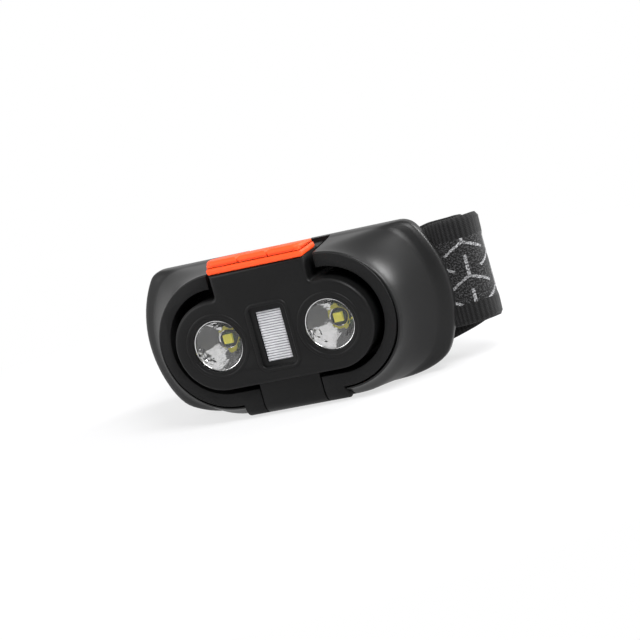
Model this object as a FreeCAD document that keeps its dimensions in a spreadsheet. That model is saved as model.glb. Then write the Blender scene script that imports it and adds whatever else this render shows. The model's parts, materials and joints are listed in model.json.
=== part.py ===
"""Headlamp: a tilting lamp head in a flared bracket on a webbing headband.

Row frame, millimetres: X to the wearer's left seen from the front, Y from the lamp's face
towards the forehead, Z up. The origin is the centre of the flat foot under the bracket.
"""
import FreeCAD, Part
import math
import os
import types

import Sketcher

Vector = FreeCAD.Vector
document = FreeCAD.newDocument("headlamp")
sheet = document.addObject("Spreadsheet::Sheet", "sizes")

DRIVING_SIZES = {
    # where the lamp sits in the row frame
    "lens_height": 19.0, "face_place": -13.0,
    # lamp head
    "lens_pitch": 28.0, "head_half": 13.93, "head_radius": 10.72, "head_depth": 16.5,
    "bezel_depth": 10.5, "head_wall": 1.5, "front_wall": 1.6, "rear_wall": 1.6,
    "rear_bevel": 2.6, "tab_half": 11.8, "tab_rise": 16.5, "seam_gasket": 0.5,
    # optics
    "spot_radius": 6.1, "lens_set": 0.8, "lens_thick": 1.0, "lens_lap": 0.7, "lens_seal": 0.4,
    "reflector_wall": 0.6, "reflector_throat": 1.9, "led_side": 2.0, "led_thick": 0.7,
    "flood_wide": 6.2, "flood_high": 11.7, "flood_set": 1.2, "flood_sink": 0.6,
    "flood_margin": 0.6, "part_gap": 0.1,
    # inside the head
    "board_half": 10.9, "board_radius": 8.5, "board_thick": 1.0, "optic_depth": 7.4,
    "spreader_thick": 0.8, "cell_wide": 36.0, "cell_high": 15.2, "cell_thick": 4.8,
    "boss_radius": 1.5, "screw_radius": 0.8, "screw_head": 1.4, "screw_sunk": 0.9,
    "foam_end_gap": 2.0, "foam_top_gap": 5.0,
    # keypad
    "keypad_half": 12.0, "keypad_depth": 9.6, "keypad_high": 2.0, "keypad_wall": 0.8,
    "keypad_floor": 0.8, "key_rise": 1.1, "key_gap": 0.3, "key_travel": 0.5,
    "stem_radius": 1.0, "switch_side": 4.0, "switch_high": 1.4,
    # charging port
    "port_wide": 8.9, "port_high": 3.2, "port_deep": 7.6, "port_drop": 1.0,
    "flap_half": 6.0, "flap_long": 5.3, "flap_thick": 0.9, "flap_gap": 0.3,
    # tilt hinge
    "tilt_place": -7.3, "tilt_height": 3.6, "knuckle_radius": 3.2, "knuckle_half": 7.5,
    "lug_half": 12.6, "hinge_side_gap": 0.3, "hinge_pin_radius": 0.9, "running_fit": 0.05,
    # bracket frame
    "rim_set": 2.5, "rim_thick": 2.0, "rim_inner_half": 13.96, "rim_inner_radius": 12.56,
    "rim_lift": 0.44, "rim_outer_radius": 15.74, "tub_wall": 1.5, "gate_half": 13.4,
    "plate_screw_out": 9.5, "plate_screw_rise": 11.8, "plate_boss_radius": 2.2,
    "plate_boss_long": 5.0,
    # bracket shell: front and back outlines, heights above the lens axis
    "skin": 1.8, "shell_front": -10.0, "shell_back": 6.2,
    "front_top_half": 13.4, "front_top": 16.5, "front_side_half": 26.9, "front_side": 9.5,
    "front_bottom": -16.3, "front_round": 16.4,
    "back_top_half": 29.5, "back_top": 17.4, "back_side_half": 33.9, "back_side": 15.5,
    "back_base_half": 21.0, "back_bottom": -19.3, "back_round": 4.8, "back_bulge": 28.0,
    "back_belly": 24.0,
    # back plate and forehead pad
    "plate_half": 27.4, "plate_bottom": 3.3, "plate_top": 34.2, "plate_thick": 2.0,
    "notch_half": 8.0, "notch_bottom": 25.4, "pad_half": 27.8, "pad_bottom": 2.2,
    "pad_top": 35.6, "pad_thick": 5.0, "forehead_radius": 105.0,
    # headband
    "band_high": 25.0, "band_thick": 1.5, "band_height": 22.0, "band_floor": 14.5,
    "strap_pin_half": 31.0, "strap_pin_place": 4.3, "strap_pin_radius": 1.1,
    "strap_pin_long": 29.8, "strap_pin_low": 5.2, "pin_boss_half": 2.2, "pin_boss_deep": 3.3,
    "pin_boss_low": 3.0, "relief_start": 2.6, "relief_deep": 3.6, "relief_gap": 0.4,
    "slider_place": -8.0, "slider_half": 7.0, "slider_bar": 1.0,
    "slider_rail": 1.5, "slider_fit": 0.3, "slider_bar_thick": 1.4, "slider_back_gap": 0.15,
    "return_end": 16.0, "tail_end": 5.0,
}


class Size:
    """A number together with the spreadsheet expression that gives it."""

    def __init__(self, value, text):
        self.value = value
        self.text = text

    def __add__(self, other):
        other = as_size(other)
        return Size(self.value + other.value, f"({self.text} + {other.text})")

    def __sub__(self, other):
        other = as_size(other)
        return Size(self.value - other.value, f"({self.text} - {other.text})")

    def __mul__(self, other):
        other = as_size(other)
        return Size(self.value * other.value, f"({self.text} * {other.text})")

    def __truediv__(self, other):
        other = as_size(other)
        return Size(self.value / other.value, f"({self.text} / {other.text})")

    def __radd__(self, other):
        return as_size(other) + self

    def __rsub__(self, other):
        return as_size(other) - self

    def __rmul__(self, other):
        return as_size(other) * self

    def __neg__(self):
        return Size(-self.value, f"(-1 * {self.text})")


def as_size(number):
    return number if isinstance(number, Size) else Size(number, repr(float(number)))


def fill_sheet():
    """Write each driving size to a cell of its own, under its name."""
    for row, (name, value) in enumerate(DRIVING_SIZES.items(), start=1):
        sheet.set(f"A{row}", name)
        sheet.set(f"B{row}", str(value))
        sheet.setAlias(f"B{row}", name)
    document.recompute()
    cells = {name: Size(float(sheet.get(name)), f"sizes.{name}") for name in DRIVING_SIZES}
    return types.SimpleNamespace(**cells)


s = fill_sheet()
nodes = []


def bind(item, prop, size):
    item.setExpression(prop, as_size(size).text)


def node(item, name):
    """Name a finished sub-part after the piece it is."""
    item.Label = name
    nodes.append(item)
    return item


# ---------------------------------------------------------------- solids from Part primitives


def block(name, x, y, z):
    """A box between two places along each axis, each given as a pair."""
    item = document.addObject("Part::Box", name)
    for prop, side, (low, high) in (("Length", "x", x), ("Width", "y", y), ("Height", "z", z)):
        bind(item, prop, high - low)
        bind(item, f"Placement.Base.{side}", low)
    return item


TURNS = {
    "x": FreeCAD.Rotation(Vector(0, 1, 0), 90),
    "y": FreeCAD.Rotation(Vector(1, 0, 0), -90),
    "z": FreeCAD.Rotation(),
}


def turn_and_place(item, along, start):
    item.Placement = FreeCAD.Placement(Vector(), TURNS[along])
    for side, place in zip("xyz", start):
        bind(item, f"Placement.Base.{side}", place)


def rod(name, along, start, length, radius):
    item = document.addObject("Part::Cylinder", name)
    bind(item, "Radius", radius)
    bind(item, "Height", length)
    turn_and_place(item, along, start)
    return item


def cone(name, along, start, length, first_radius, last_radius):
    item = document.addObject("Part::Cone", name)
    bind(item, "Radius1", first_radius)
    bind(item, "Radius2", last_radius)
    bind(item, "Height", length)
    turn_and_place(item, along, start)
    return item


def fuse(name, *parts):
    item = document.addObject("Part::MultiFuse", name)
    item.Shapes = list(parts)
    return item


def cut(name, base, *tools):
    item = document.addObject("Part::Cut", name)
    item.Base = base
    item.Tool = tools[0] if len(tools) == 1 else fuse(name + "_tools", *tools)
    return item


def group(name, *parts):
    item = document.addObject("Part::Compound", name)
    item.Links = list(parts)
    return item


# ---------------------------------------------------------------- sketched bodies


def new_body(name):
    return document.addObject("PartDesign::Body", name)


def new_sketch(body, name, role, place):
    """A sketch on one of the body's planes, moved to a place along the plane's own axis."""
    sketch = body.newObject("Sketcher::SketchObject", name)
    plane = next(item for item in body.Origin.OriginFeatures if item.Role == role)
    sketch.AttachmentSupport = [(plane, "")]
    sketch.MapMode = "FlatFace"
    along_normal = -as_size(place) if role == "XZ_Plane" else as_size(place)
    bind(sketch, "AttachmentOffset.Base.z", along_normal)
    return sketch


def set_constraint(sketch, size, *constraint):
    number = sketch.addConstraint(Sketcher.Constraint(*constraint, size.value))
    bind(sketch, f"Constraints[{number}]", size)


def bulge_arc(first, last, radius):
    """An arc to the right-hand side of the way from first to last."""
    way = last - first
    half = way.Length / 2
    rise = radius - math.sqrt(radius * radius - half * half)
    outward = Vector(way.y, -way.x, 0).normalize()
    return Part.Arc(first, (first + last) / 2 + outward * rise, last)


def closed_outline(sketch, corners, radii):
    """Corners anticlockwise; a radius of None makes that side straight."""
    first = sketch.GeometryCount
    corners = [(as_size(x), as_size(y)) for x, y in corners]
    points = [Vector(x.value, y.value, 0) for x, y in corners]
    count = len(points)
    for i, radius in enumerate(radii):
        start, end = points[i], points[(i + 1) % count]
        if radius is None:
            sketch.addGeometry(Part.LineSegment(start, end), False)
        else:
            sketch.addGeometry(bulge_arc(start, end, as_size(radius).value), False)
    for i in range(count):
        here, after = first + i, first + (i + 1) % count
        sketch.addConstraint(Sketcher.Constraint("Coincident", here, 2, after, 1))
    for i, (x, y) in enumerate(corners):
        set_constraint(sketch, x, "DistanceX", -1, 1, first + i, 1)
        set_constraint(sketch, y, "DistanceY", -1, 1, first + i, 1)
        if radii[i] is not None:
            set_constraint(sketch, as_size(radii[i]), "Radius", first + i)


def stadium(sketch, half, radius, height):
    """Two straight sides joined by half circles, its long axis along X."""
    half, radius, height = as_size(half), as_size(radius), as_size(height)
    low, high = height - radius, height + radius
    points = [(half, low), (half, high), (-half, high), (-half, low)]
    start = [Vector(x.value, y.value, 0) for x, y in points]
    quarter = math.pi / 2
    for i, side in ((0, 1), (2, -1)):
        centre = Vector(side * half.value, height.value, 0)
        ring = Part.Circle(centre, Vector(0, 0, 1), radius.value)
        turn = quarter * (1 - side)
        sketch.addGeometry(Part.ArcOfCircle(ring, turn - quarter, turn + quarter), False)
        sketch.addGeometry(Part.LineSegment(start[i + 1], start[(i + 2) % 4]), False)
    first = sketch.GeometryCount - 4
    for i in range(4):
        sketch.addConstraint(Sketcher.Constraint("Tangent", first + i, 2, first + (i + 1) % 4, 1))
    sketch.addConstraint(Sketcher.Constraint("Equal", first, first + 2))
    set_constraint(sketch, radius, "Radius", first)
    set_constraint(sketch, half, "DistanceX", -1, 1, first, 3)
    set_constraint(sketch, height, "DistanceY", -1, 1, first, 3)
    set_constraint(sketch, -half, "DistanceX", -1, 1, first + 2, 3)
    sketch.addConstraint(Sketcher.Constraint("Horizontal", first + 1))


def pad(body, sketch, length, both_ways=False):
    """Add material: towards +Y from an XZ sketch, +Z from XY, both ways along X from YZ."""
    item = body.newObject("PartDesign::Pad", "pad")
    item.Profile = sketch
    bind(item, "Length", length)
    if both_ways:
        item.SideType = "Symmetric"
    elif sketch.AttachmentSupport[0][0].Role == "XZ_Plane":
        item.Reversed = True
    document.recompute()
    return item


def stadium_prism(name, y, half, radius, height):
    """A stadium outline carried along Y between two places."""
    low, high = as_size(y[0]), as_size(y[1])
    body = new_body(name)
    sketch = new_sketch(body, name + "_outline", "XZ_Plane", low)
    stadium(sketch, half, radius, height)
    pad(body, sketch, high - low)
    return body


# ---------------------------------------------------------------- places shared by the pieces

axis = s.lens_height
face = s.face_place
seam = face + s.bezel_depth
head_back = face + s.head_depth
wall_back = face + s.front_wall
lens_front = face + s.lens_set
lens_back = lens_front + s.lens_thick
reflector_front = lens_back + s.lens_seal
board_front = face + s.optic_depth
board_back = board_front + s.board_thick
cell_front = board_back + s.spreader_thick
cell_back = cell_front + s.cell_thick
shell_inside = head_back - s.rear_wall
tab_top = axis + s.tab_rise
inner_radius = s.head_radius - s.head_wall
spots = {"left": -1 * (s.lens_pitch / 2), "right": s.lens_pitch / 2}
rim_front = face + s.rim_set
plate_front = s.shell_back - s.plate_thick
rim_height = axis + s.rim_lift
base_floor = tab_top + s.keypad_floor
key_bottom = base_floor + s.key_gap + s.key_travel
key_top = tab_top + s.keypad_high + s.key_rise
key_pitch = (2 * s.keypad_half - 2 * s.keypad_wall - s.key_gap) / 3
key_places = {"left": -key_pitch, "mid": as_size(0.0), "right": key_pitch}
key_middle = face + s.keypad_depth / 2
stem_end = tab_top - s.head_wall
switch_top = stem_end - s.key_gap - s.key_travel
board_top = switch_top - s.switch_high
board_low = board_top - s.board_thick
port_top = board_low
port_low = port_top - s.port_high
port_centre = (port_top + port_low) / 2
flap_place = head_back - s.flap_thick / 2
flap_high = port_top + s.port_drop
screw_place = s.head_half + inner_radius - s.boss_radius - s.part_gap
board_screw_x = s.lens_pitch / 4
board_screw_z = s.board_radius - s.boss_radius
plate_screw_x = s.rim_inner_half + s.plate_screw_out


# ---------------------------------------------------------------- lamp head


def head_outline(name, y, inset):
    """The head's stadium with its raised keypad tab, shrunk by an inset."""
    body = stadium_prism(name + "_drum", y, s.head_half, s.head_radius - inset, axis)
    half = s.tab_half - inset
    tab = block(name + "_tab", (-half, half), y, (axis, tab_top - inset))
    return fuse(name, body, tab)


def make_bezel():
    rear = seam - s.seam_gasket / 2
    solid = head_outline("bezel_solid", (face, rear), as_size(0.0))
    place, height, radius = s.tilt_place, s.tilt_height, s.knuckle_radius
    span = (-s.knuckle_half, s.knuckle_half)
    foot = axis - s.head_radius + s.head_wall
    web = block("knuckle_web", span, (place - radius, place + radius), (height, foot))
    barrel = rod("knuckle", "x", (-s.knuckle_half, place, height), 2 * s.knuckle_half, radius)
    hollow = head_outline("bezel_hollow", (wall_back, seam + 1), s.head_wall)
    bore = rod("knuckle_bore", "x", (-s.lug_half, place, height), 2 * s.lug_half,
               s.hinge_pin_radius + s.running_fit)
    openings, seats = [hollow], []
    for side, x in spots.items():
        openings.append(rod(f"spot_opening_{side}", "y", (x, face - 1, axis), 3, s.spot_radius))
        seats.append(rod(f"spot_seat_{side}", "y", (x, lens_front, axis), 3,
                         s.spot_radius + s.lens_lap + s.part_gap))
    for name, grow, y in (("flood_opening", s.part_gap, (face - 1, wall_back + 1)),
                          ("flood_recess", s.flood_margin * 2, (face - 1, face + s.flood_sink))):
        wide, high = s.flood_wide / 2 + grow, s.flood_high / 2 + grow
        openings.append(block(name, (-wide, wide), y, (axis - high, axis + high)))
    for side, x in key_places.items():
        openings.append(rod(f"stem_way_{side}", "z", (x, key_middle, stem_end - 1), 5,
                            s.stem_radius + s.key_gap))
    shell = cut("bezel_shell", fuse("bezel_block", solid, web, barrel), bore, *openings)
    bosses = [shell]
    drills = []
    for name, x, z, last in head_bosses():
        bosses.append(rod(f"boss_{name}", "y", (x, wall_back, z), last - wall_back, s.boss_radius))
        drills.append(rod(f"drill_{name}", "y", (x, wall_back + 0.6, z), last - wall_back,
                          s.screw_radius))
    return node(cut("bezel", fuse("bezel_bossed", *bosses), *drills, *seats), "head_bezel")


def head_bosses():
    """Screw bosses behind the front wall: the case screws, then the board's own."""
    back = seam - s.seam_gasket / 2
    for side in (-1, 1):
        yield f"case_{side}", side * screw_place, axis, back
        yield f"board_{side}", side * board_screw_x, axis + side * board_screw_z, board_front


def make_head_shell():
    start = seam + s.seam_gasket / 2
    solid = head_outline("shell_solid", (start, head_back), as_size(0.0))
    hollow = head_outline("shell_hollow", (start - 1, shell_inside), s.head_wall)
    bevels = []
    for side, sign in (("over", 1), ("under", -1)):
        edge = axis + sign * s.head_radius
        bevels.append(rear_bevel(side, edge, sign))
    recess = block("flap_recess", (-s.flap_half - s.flap_gap, s.flap_half + s.flap_gap),
                   (head_back - s.flap_thick - s.flap_gap, head_back + 1),
                   (flap_high - s.flap_long - s.flap_gap, flap_high + s.flap_thick))
    half = s.port_wide / 2 + s.part_gap
    port = block("port_way", (-half, half), (start, head_back + 1),
                 (port_low - s.part_gap, port_top + s.part_gap))
    case = cut("shell_case", solid, hollow, *bevels)
    lining = block("port_lining", (-s.flap_half - 1, s.flap_half + 1),
                   (shell_inside - 0.8, shell_inside + 0.2),
                   (flap_high - s.flap_long - 1, flap_high + 1))
    parts, drills = [case, lining], [recess, port]
    for side in (-1, 1):
        x = side * screw_place
        parts.append(rod(f"shell_boss_{side}", "y", (x, start, axis), shell_inside - start + 0.2,
                         s.boss_radius))
        drills.append(rod(f"shell_drill_{side}", "y", (x, start - 1, axis), s.head_depth,
                          s.screw_radius))
        drills.append(rod(f"screw_sink_{side}", "y", (x, head_back - s.screw_sunk, axis), 2,
                          s.screw_head))
    return node(cut("shell", fuse("shell_lined", *parts), *drills), "head_shell")


def rear_bevel(side, edge, sign):
    """A wedge that takes the sharp rear corner off a long edge outside the tab."""
    body = new_body(f"bevel_{side}")
    sketch = new_sketch(body, f"bevel_{side}_profile", "YZ_Plane", -s.rim_outer_radius * 2)
    corners = [(head_back - s.rear_bevel, edge + sign * 0.01), (head_back + 1, edge),
               (head_back + 1, edge + sign * -1 * (s.rear_bevel + 1))]
    if sign > 0:
        corners.reverse()
    closed_outline(sketch, corners, [None] * 3)
    pad(body, sketch, 4 * s.rim_outer_radius)
    if sign > 0:
        return cut("bevel_over_ends", body, block("bevel_keep", (-s.tab_half, s.tab_half),
                   (face, head_back + 2), (axis, tab_top)))
    return body


def make_seam_gasket():
    half_gap = s.seam_gasket / 2
    outer = head_outline("gasket_outer", (seam - half_gap, seam + half_gap), as_size(0.3))
    inner = head_outline("gasket_inner", (seam - 1, seam + 1), s.head_wall - 0.1)
    return node(cut("gasket", outer, inner), "head_gasket")


def make_spot(side, x):
    """One spot beam: lens, its seal, reflector and light source."""
    radius = s.spot_radius + s.lens_lap
    node(rod(f"lens_{side}", "y", (x, lens_front, axis), s.lens_thick, radius),
         f"spot_lens_{side}")
    bowl = cone(f"bowl_{side}", "y", (x, reflector_front, axis), board_front - reflector_front,
                s.spot_radius + s.reflector_wall, s.reflector_throat + s.reflector_wall)
    mouth = cone(f"mouth_{side}", "y", (x, reflector_front, axis), board_front - reflector_front,
                 s.spot_radius, s.reflector_throat)
    node(cut(f"reflector_{side}", bowl, mouth), f"spot_reflector_{side}")
    half = s.led_side / 2
    node(block(f"led_{side}", (x - half, x + half), (board_front - s.led_thick, board_front),
               (axis - half, axis + half)), f"spot_led_{side}")


def make_lens_seals():
    rings = []
    for side, x in spots.items():
        outer = rod(f"seal_outer_{side}", "y", (x, lens_back, axis), s.lens_seal,
                    s.spot_radius + s.lens_lap)
        inner = rod(f"seal_inner_{side}", "y", (x, lens_back - 1, axis), 3, s.spot_radius)
        rings.append(cut(f"seal_{side}", outer, inner))
    return node(group("seals", *rings), "lens_seals")


def make_flood():
    wide, high = s.flood_wide / 2, s.flood_high / 2
    front = face + s.flood_set
    window = block("flood_window", (-wide, wide), (front, wall_back), (axis - high, axis + high))
    rim = s.flood_margin
    flange = block("flood_flange", (-wide - rim, wide + rim), (wall_back, wall_back + s.lens_thick),
                   (axis - high - rim, axis + high + rim))
    node(fuse("flood", window, flange), "flood_lens")
    half = s.led_side / 2
    chips = []
    for step in (-1, 0, 1):
        middle = axis + step * (s.flood_high / 3)
        chips.append(block(f"flood_led_{step}", (-half, half),
                           (board_front - s.led_thick, board_front), (middle - half, middle + half)))
    node(group("flood_chips", *chips), "flood_leds")


def make_boards():
    board = stadium_prism("board_plate", (board_front, board_back), s.board_half, s.board_radius,
                          axis)
    spreader = stadium_prism("spreader_plate", (board_back, cell_front), s.board_half,
                             s.board_radius, axis)
    for plate, name in ((board, "led_board"), (spreader, "heat_spreader")):
        holes = [rod(f"{name}_hole_{side}", "y",
                     (side * board_screw_x, board_front - 1, axis + side * board_screw_z), 5,
                     s.screw_radius + s.part_gap) for side in (-1, 1)]
        node(cut(f"{name}_drilled", plate, *holes), name)
    reach = cell_front - board_front
    screws = [rod(f"board_screw_{side}", "y",
                  (side * board_screw_x, board_front - 2.5, axis + side * board_screw_z),
                  reach + 2.5, s.screw_radius - s.part_gap / 2) for side in (-1, 1)]
    node(group("board_screw_pair", *screws), "board_screws")


def make_cell():
    half = s.cell_wide / 2
    high = (axis - s.cell_high / 2, axis + s.cell_high / 2)
    cell = block("cell_pouch", (-half, half), (cell_front, cell_back), high)
    node(cell, "battery_cell")
    foam_half = half - s.foam_end_gap
    node(block("cell_foam", (-foam_half, foam_half), (cell_back, shell_inside),
               (high[0] + s.foam_end_gap, high[1] - s.foam_top_gap)), "battery_foam")


def make_control_board():
    half = s.tab_half - s.head_wall - s.part_gap
    node(block("control_plate", (-half, half), (wall_back + s.part_gap, shell_inside - 1),
               (board_low, board_top)), "control_board")
    side = s.switch_side / 2
    switches = []
    for name, x in key_places.items():
        body = block(f"switch_body_{name}", (x - side, x + side),
                     (key_middle - side, key_middle + side), (board_top, switch_top - 0.5))
        button = rod(f"switch_button_{name}", "z", (x, key_middle, switch_top - 0.5), 0.5,
                     s.stem_radius)
        switches.append(fuse(f"switch_{name}", body, button))
    node(group("switches", *switches), "tact_switches")


def make_port():
    half = s.port_wide / 2
    mouth = head_back - s.flap_thick - s.flap_gap
    can = block("port_can", (-half, half), (mouth - s.port_deep, mouth), (port_low, port_top))
    cavity = block("port_cavity", (-half + 0.3, half - 0.3), (mouth - s.port_deep + 1, mouth + 1),
                   (port_low + 0.3, port_top - 0.3))
    tongue = block("port_tongue", (-half + 1.2, half - 1.2),
                   (mouth - s.port_deep + 0.5, mouth - 1.2), (port_centre - 0.35, port_centre + 0.35))
    node(fuse("port", cut("port_shell", can, cavity), tongue), "usb_receptacle")


def make_port_cover():
    half = s.flap_half
    roll = s.flap_thick / 2
    hinge = rod("flap_roll", "x", (-half, flap_place, flap_high), 2 * half, roll)
    leaf = block("flap_leaf", (-half, half), (flap_place - roll, flap_place + roll),
                 (flap_high - s.flap_long, flap_high))
    plug = block("flap_plug", (-half / 2, half / 2), (flap_place - roll - 0.8, flap_place),
                 (port_centre - 0.7, port_centre + 0.7))
    node(fuse("flap", hinge, leaf, plug), "port_cover")


def make_head_screws():
    screws = []
    for side in (-1, 1):
        x = side * screw_place
        head = rod(f"case_screw_head_{side}", "y", (x, head_back - s.screw_sunk, axis),
                   s.screw_sunk - s.part_gap, s.screw_head - s.part_gap)
        shank = rod(f"case_screw_shank_{side}", "y", (x, seam - 5, axis), head_back - seam + 4.5,
                    s.screw_radius - s.part_gap / 2)
        screws.append(fuse(f"case_screw_{side}", head, shank))
    node(group("case_screw_pair", *screws), "head_screws")


# ---------------------------------------------------------------- keypad


def make_keypad():
    half = s.keypad_half
    back = face + s.keypad_depth
    tray = block("keypad_tray", (-half, half), (face, back), (tab_top, tab_top + s.keypad_high))
    wall = s.keypad_wall
    well = block("keypad_well", (-half + wall, half - wall), (face + wall, back - wall),
                 (base_floor, tab_top + s.keypad_high + 1))
    ways = [rod(f"keypad_way_{side}", "z", (x, key_middle, tab_top - 1), 4,
                s.stem_radius + s.key_gap) for side, x in key_places.items()]
    node(cut("keypad", tray, well, *ways), "keypad_base")
    for side, x in key_places.items():
        half_key = (key_pitch - s.key_gap) / 2
        front, rear = face + wall + s.key_gap, back - wall - s.key_gap
        cap = block(f"key_cap_{side}", (x - half_key, x + half_key), (front, rear),
                    (key_bottom, key_top))
        stem = rod(f"key_stem_{side}", "z", (x, key_middle, stem_end), key_bottom - stem_end + 0.2,
                   s.stem_radius)
        node(fuse(f"key_{side}_solid", cap, stem), f"key_{side}")


# ---------------------------------------------------------------- bracket


def make_frame():
    inner = s.rim_inner_radius
    tub_front, tub_back = rim_front, plate_front
    ring = stadium_prism("rim_ring", (rim_front, rim_front + s.rim_thick), s.front_top_half,
                         s.rim_outer_radius, rim_height)
    tub = stadium_prism("tub_outside", (tub_front, tub_back), s.rim_inner_half,
                        inner + s.tub_wall, rim_height)
    well = stadium_prism("tub_inside", (tub_front - 1, tub_back + 1), s.rim_inner_half, inner,
                         rim_height)
    place, height, radius = s.tilt_place, s.tilt_height, s.knuckle_radius
    lug = rod("lug_barrel", "x", (-s.lug_half, place, height), 2 * s.lug_half, radius)
    web = block("lug_web", (-s.lug_half, s.lug_half), (place - radius, place + radius),
                (height, rim_height - inner - 0.2))
    parts, drills = [ring, tub, lug, web], []
    for x in (-1 * plate_screw_x, plate_screw_x):
        for z in (rim_height - s.plate_screw_rise, rim_height + s.plate_screw_rise):
            spot = f"{len(drills)}"
            parts.append(rod("plate_boss_" + spot, "y", (x, plate_front - s.plate_boss_long, z),
                             s.plate_boss_long, s.plate_boss_radius))
            drills.append(rod("plate_drill_" + spot, "y", (x, plate_front - 4, z), 6,
                              s.screw_radius))
    slot_half = s.knuckle_half + s.hinge_side_gap
    slot = block("knuckle_slot", (-slot_half, slot_half), (face - 1, place + radius + 0.5),
                 (-1, rim_height - inner + 0.5))
    gate = block("tab_gate", (-s.gate_half, s.gate_half), (face - 1, plate_front + 1),
                 (axis + 5, tab_top + 6))
    bore = rod("lug_bore", "x", (-s.lug_half - 1, place, height), 2 * s.lug_half + 2,
               s.hinge_pin_radius)
    node(cut("frame", fuse("frame_solid", *parts), well, slot, gate, bore, *drills),
         "bracket_frame")
    node(rod("tilt_pin", "x", (-s.lug_half + 0.3, place, height), 2 * s.lug_half - 0.6,
             s.hinge_pin_radius), "hinge_pin")


def shell_section(body, name, place, share, belly, inset):
    """One outline of the flared shell, between its front stadium and its barrel-shaped back."""
    def between(front, back, amount=share):
        return front + (back - front) * amount

    top_half = between(s.front_top_half, s.back_top_half)
    top = axis + between(s.front_top, s.back_top) - inset
    side_half = between(s.front_side_half, s.back_side_half) - inset * 0.85
    side = between(s.front_side, s.back_side) - inset * 0.5
    base_half = between(s.front_top_half, s.back_base_half)
    bottom = axis + between(s.front_bottom, s.back_bottom, belly) + inset
    corner = between(s.front_round, s.back_round)
    sketch = new_sketch(body, name, "XZ_Plane", place)
    corners = [(-base_half, bottom), (base_half, bottom), (side_half, axis - side),
               (side_half, axis + side), (top_half, top), (-top_half, top),
               (-side_half, axis + side), (-side_half, axis - side)]
    belly_round = between(s.front_round, s.back_belly)
    bulge = between(s.front_round, s.back_bulge)
    radii = [None, belly_round, bulge, corner, None, corner, bulge, belly_round]
    closed_outline(sketch, corners, radii)
    return sketch


SHELL_SHARES = ((0.0, 0.0, 0.0), (0.34, 0.16, 0.85), (0.67, 0.62, 1.0), (1.0, 1.0, 1.0))


def shell_loft(name, front, inset):
    body = new_body(name)
    deep = s.shell_back - front
    sketches = [shell_section(body, f"{name}_{i}", front + deep * along, share, belly, inset)
                for i, (along, share, belly) in enumerate(SHELL_SHARES)]
    document.recompute()
    loft = body.newObject("PartDesign::AdditiveLoft", name + "_loft")
    loft.Profile = sketches[0]
    loft.Sections = sketches[1:]
    document.recompute()
    return body


BEYOND = 50.0  # a cutting tool's end, well outside the lamp


def make_bracket_shell():
    outside = shell_loft("shell_outside", s.shell_front, as_size(0.0))
    inside = shell_loft("shell_inside", s.shell_front, s.skin)
    seat = stadium_prism("rim_seat", (face - 1, rim_front + s.rim_thick), s.front_top_half,
                         s.rim_outer_radius + s.part_gap, rim_height)
    tub_room = stadium_prism("tub_room", (face - 1, plate_front), s.rim_inner_half,
                             s.rim_inner_radius + s.tub_wall + s.part_gap, rim_height)
    foot = block("foot_trim", (-BEYOND, BEYOND), (face - 5, s.shell_back + 5), (-5, 0))
    hinge_way = block("hinge_way", (-s.lug_half - 0.3, s.lug_half + 0.3),
                      (face - 2, s.tilt_place + s.knuckle_radius + 0.6), (-2, axis - 8))
    gate = block("shell_gate", (-s.gate_half, s.gate_half), (face - 2, plate_front),
                 (axis + 8, axis + 30))
    notch = block("shell_notch", (-s.notch_half, s.notch_half), (face - 2, s.shell_back + 2),
                  (axis + 8, axis + 30))
    band_low = s.band_height - s.band_high / 2
    band_top = s.band_height + s.band_high / 2
    reliefs = []
    pins = []
    bosses = []
    for side in (-1, 1):
        x = side * s.strap_pin_half
        inner_end, outer_end = x + side * s.relief_start, as_size(side * BEYOND)
        span = (inner_end, outer_end) if side > 0 else (outer_end, inner_end)
        reliefs.append(block(f"band_relief_{side}", span,
                             (s.shell_back - s.relief_deep, s.shell_back + 2),
                             (band_low - s.relief_gap, band_top + s.relief_gap / 2)))
        pins.append(rod(f"pin_way_{side}", "z", (x, s.strap_pin_place, s.strap_pin_low),
                        s.strap_pin_long, s.strap_pin_radius))
        room = s.strap_pin_radius + s.band_thick + s.hinge_side_gap
        reliefs.append(block(f"band_room_{side}", (x - room, x + room),
                             (s.strap_pin_place - room, s.shell_back + 2),
                             (band_low - s.hinge_side_gap, band_top + s.relief_gap / 2)))
        bosses.append(block(f"pin_boss_{side}", (x - s.pin_boss_half, x + s.pin_boss_half),
                            (s.strap_pin_place - s.pin_boss_deep, s.shell_back),
                            (s.pin_boss_low, band_low - s.relief_gap)))
    inner = cut("shell_cavity", inside, *bosses)
    case = cut("shell_skin", outside, inner)
    openings = [seat, tub_room, foot, hinge_way, gate, notch]
    node(cut("shell_finished", case, *openings, *reliefs, *pins), "bracket_shell")
    for side, name in ((-1, "left"), (1, "right")):
        node(rod(f"band_pin_{name}", "z",
                 (side * s.strap_pin_half, s.strap_pin_place, s.strap_pin_low), s.strap_pin_long,
                 s.strap_pin_radius), f"strap_pin_{name}")


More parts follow.
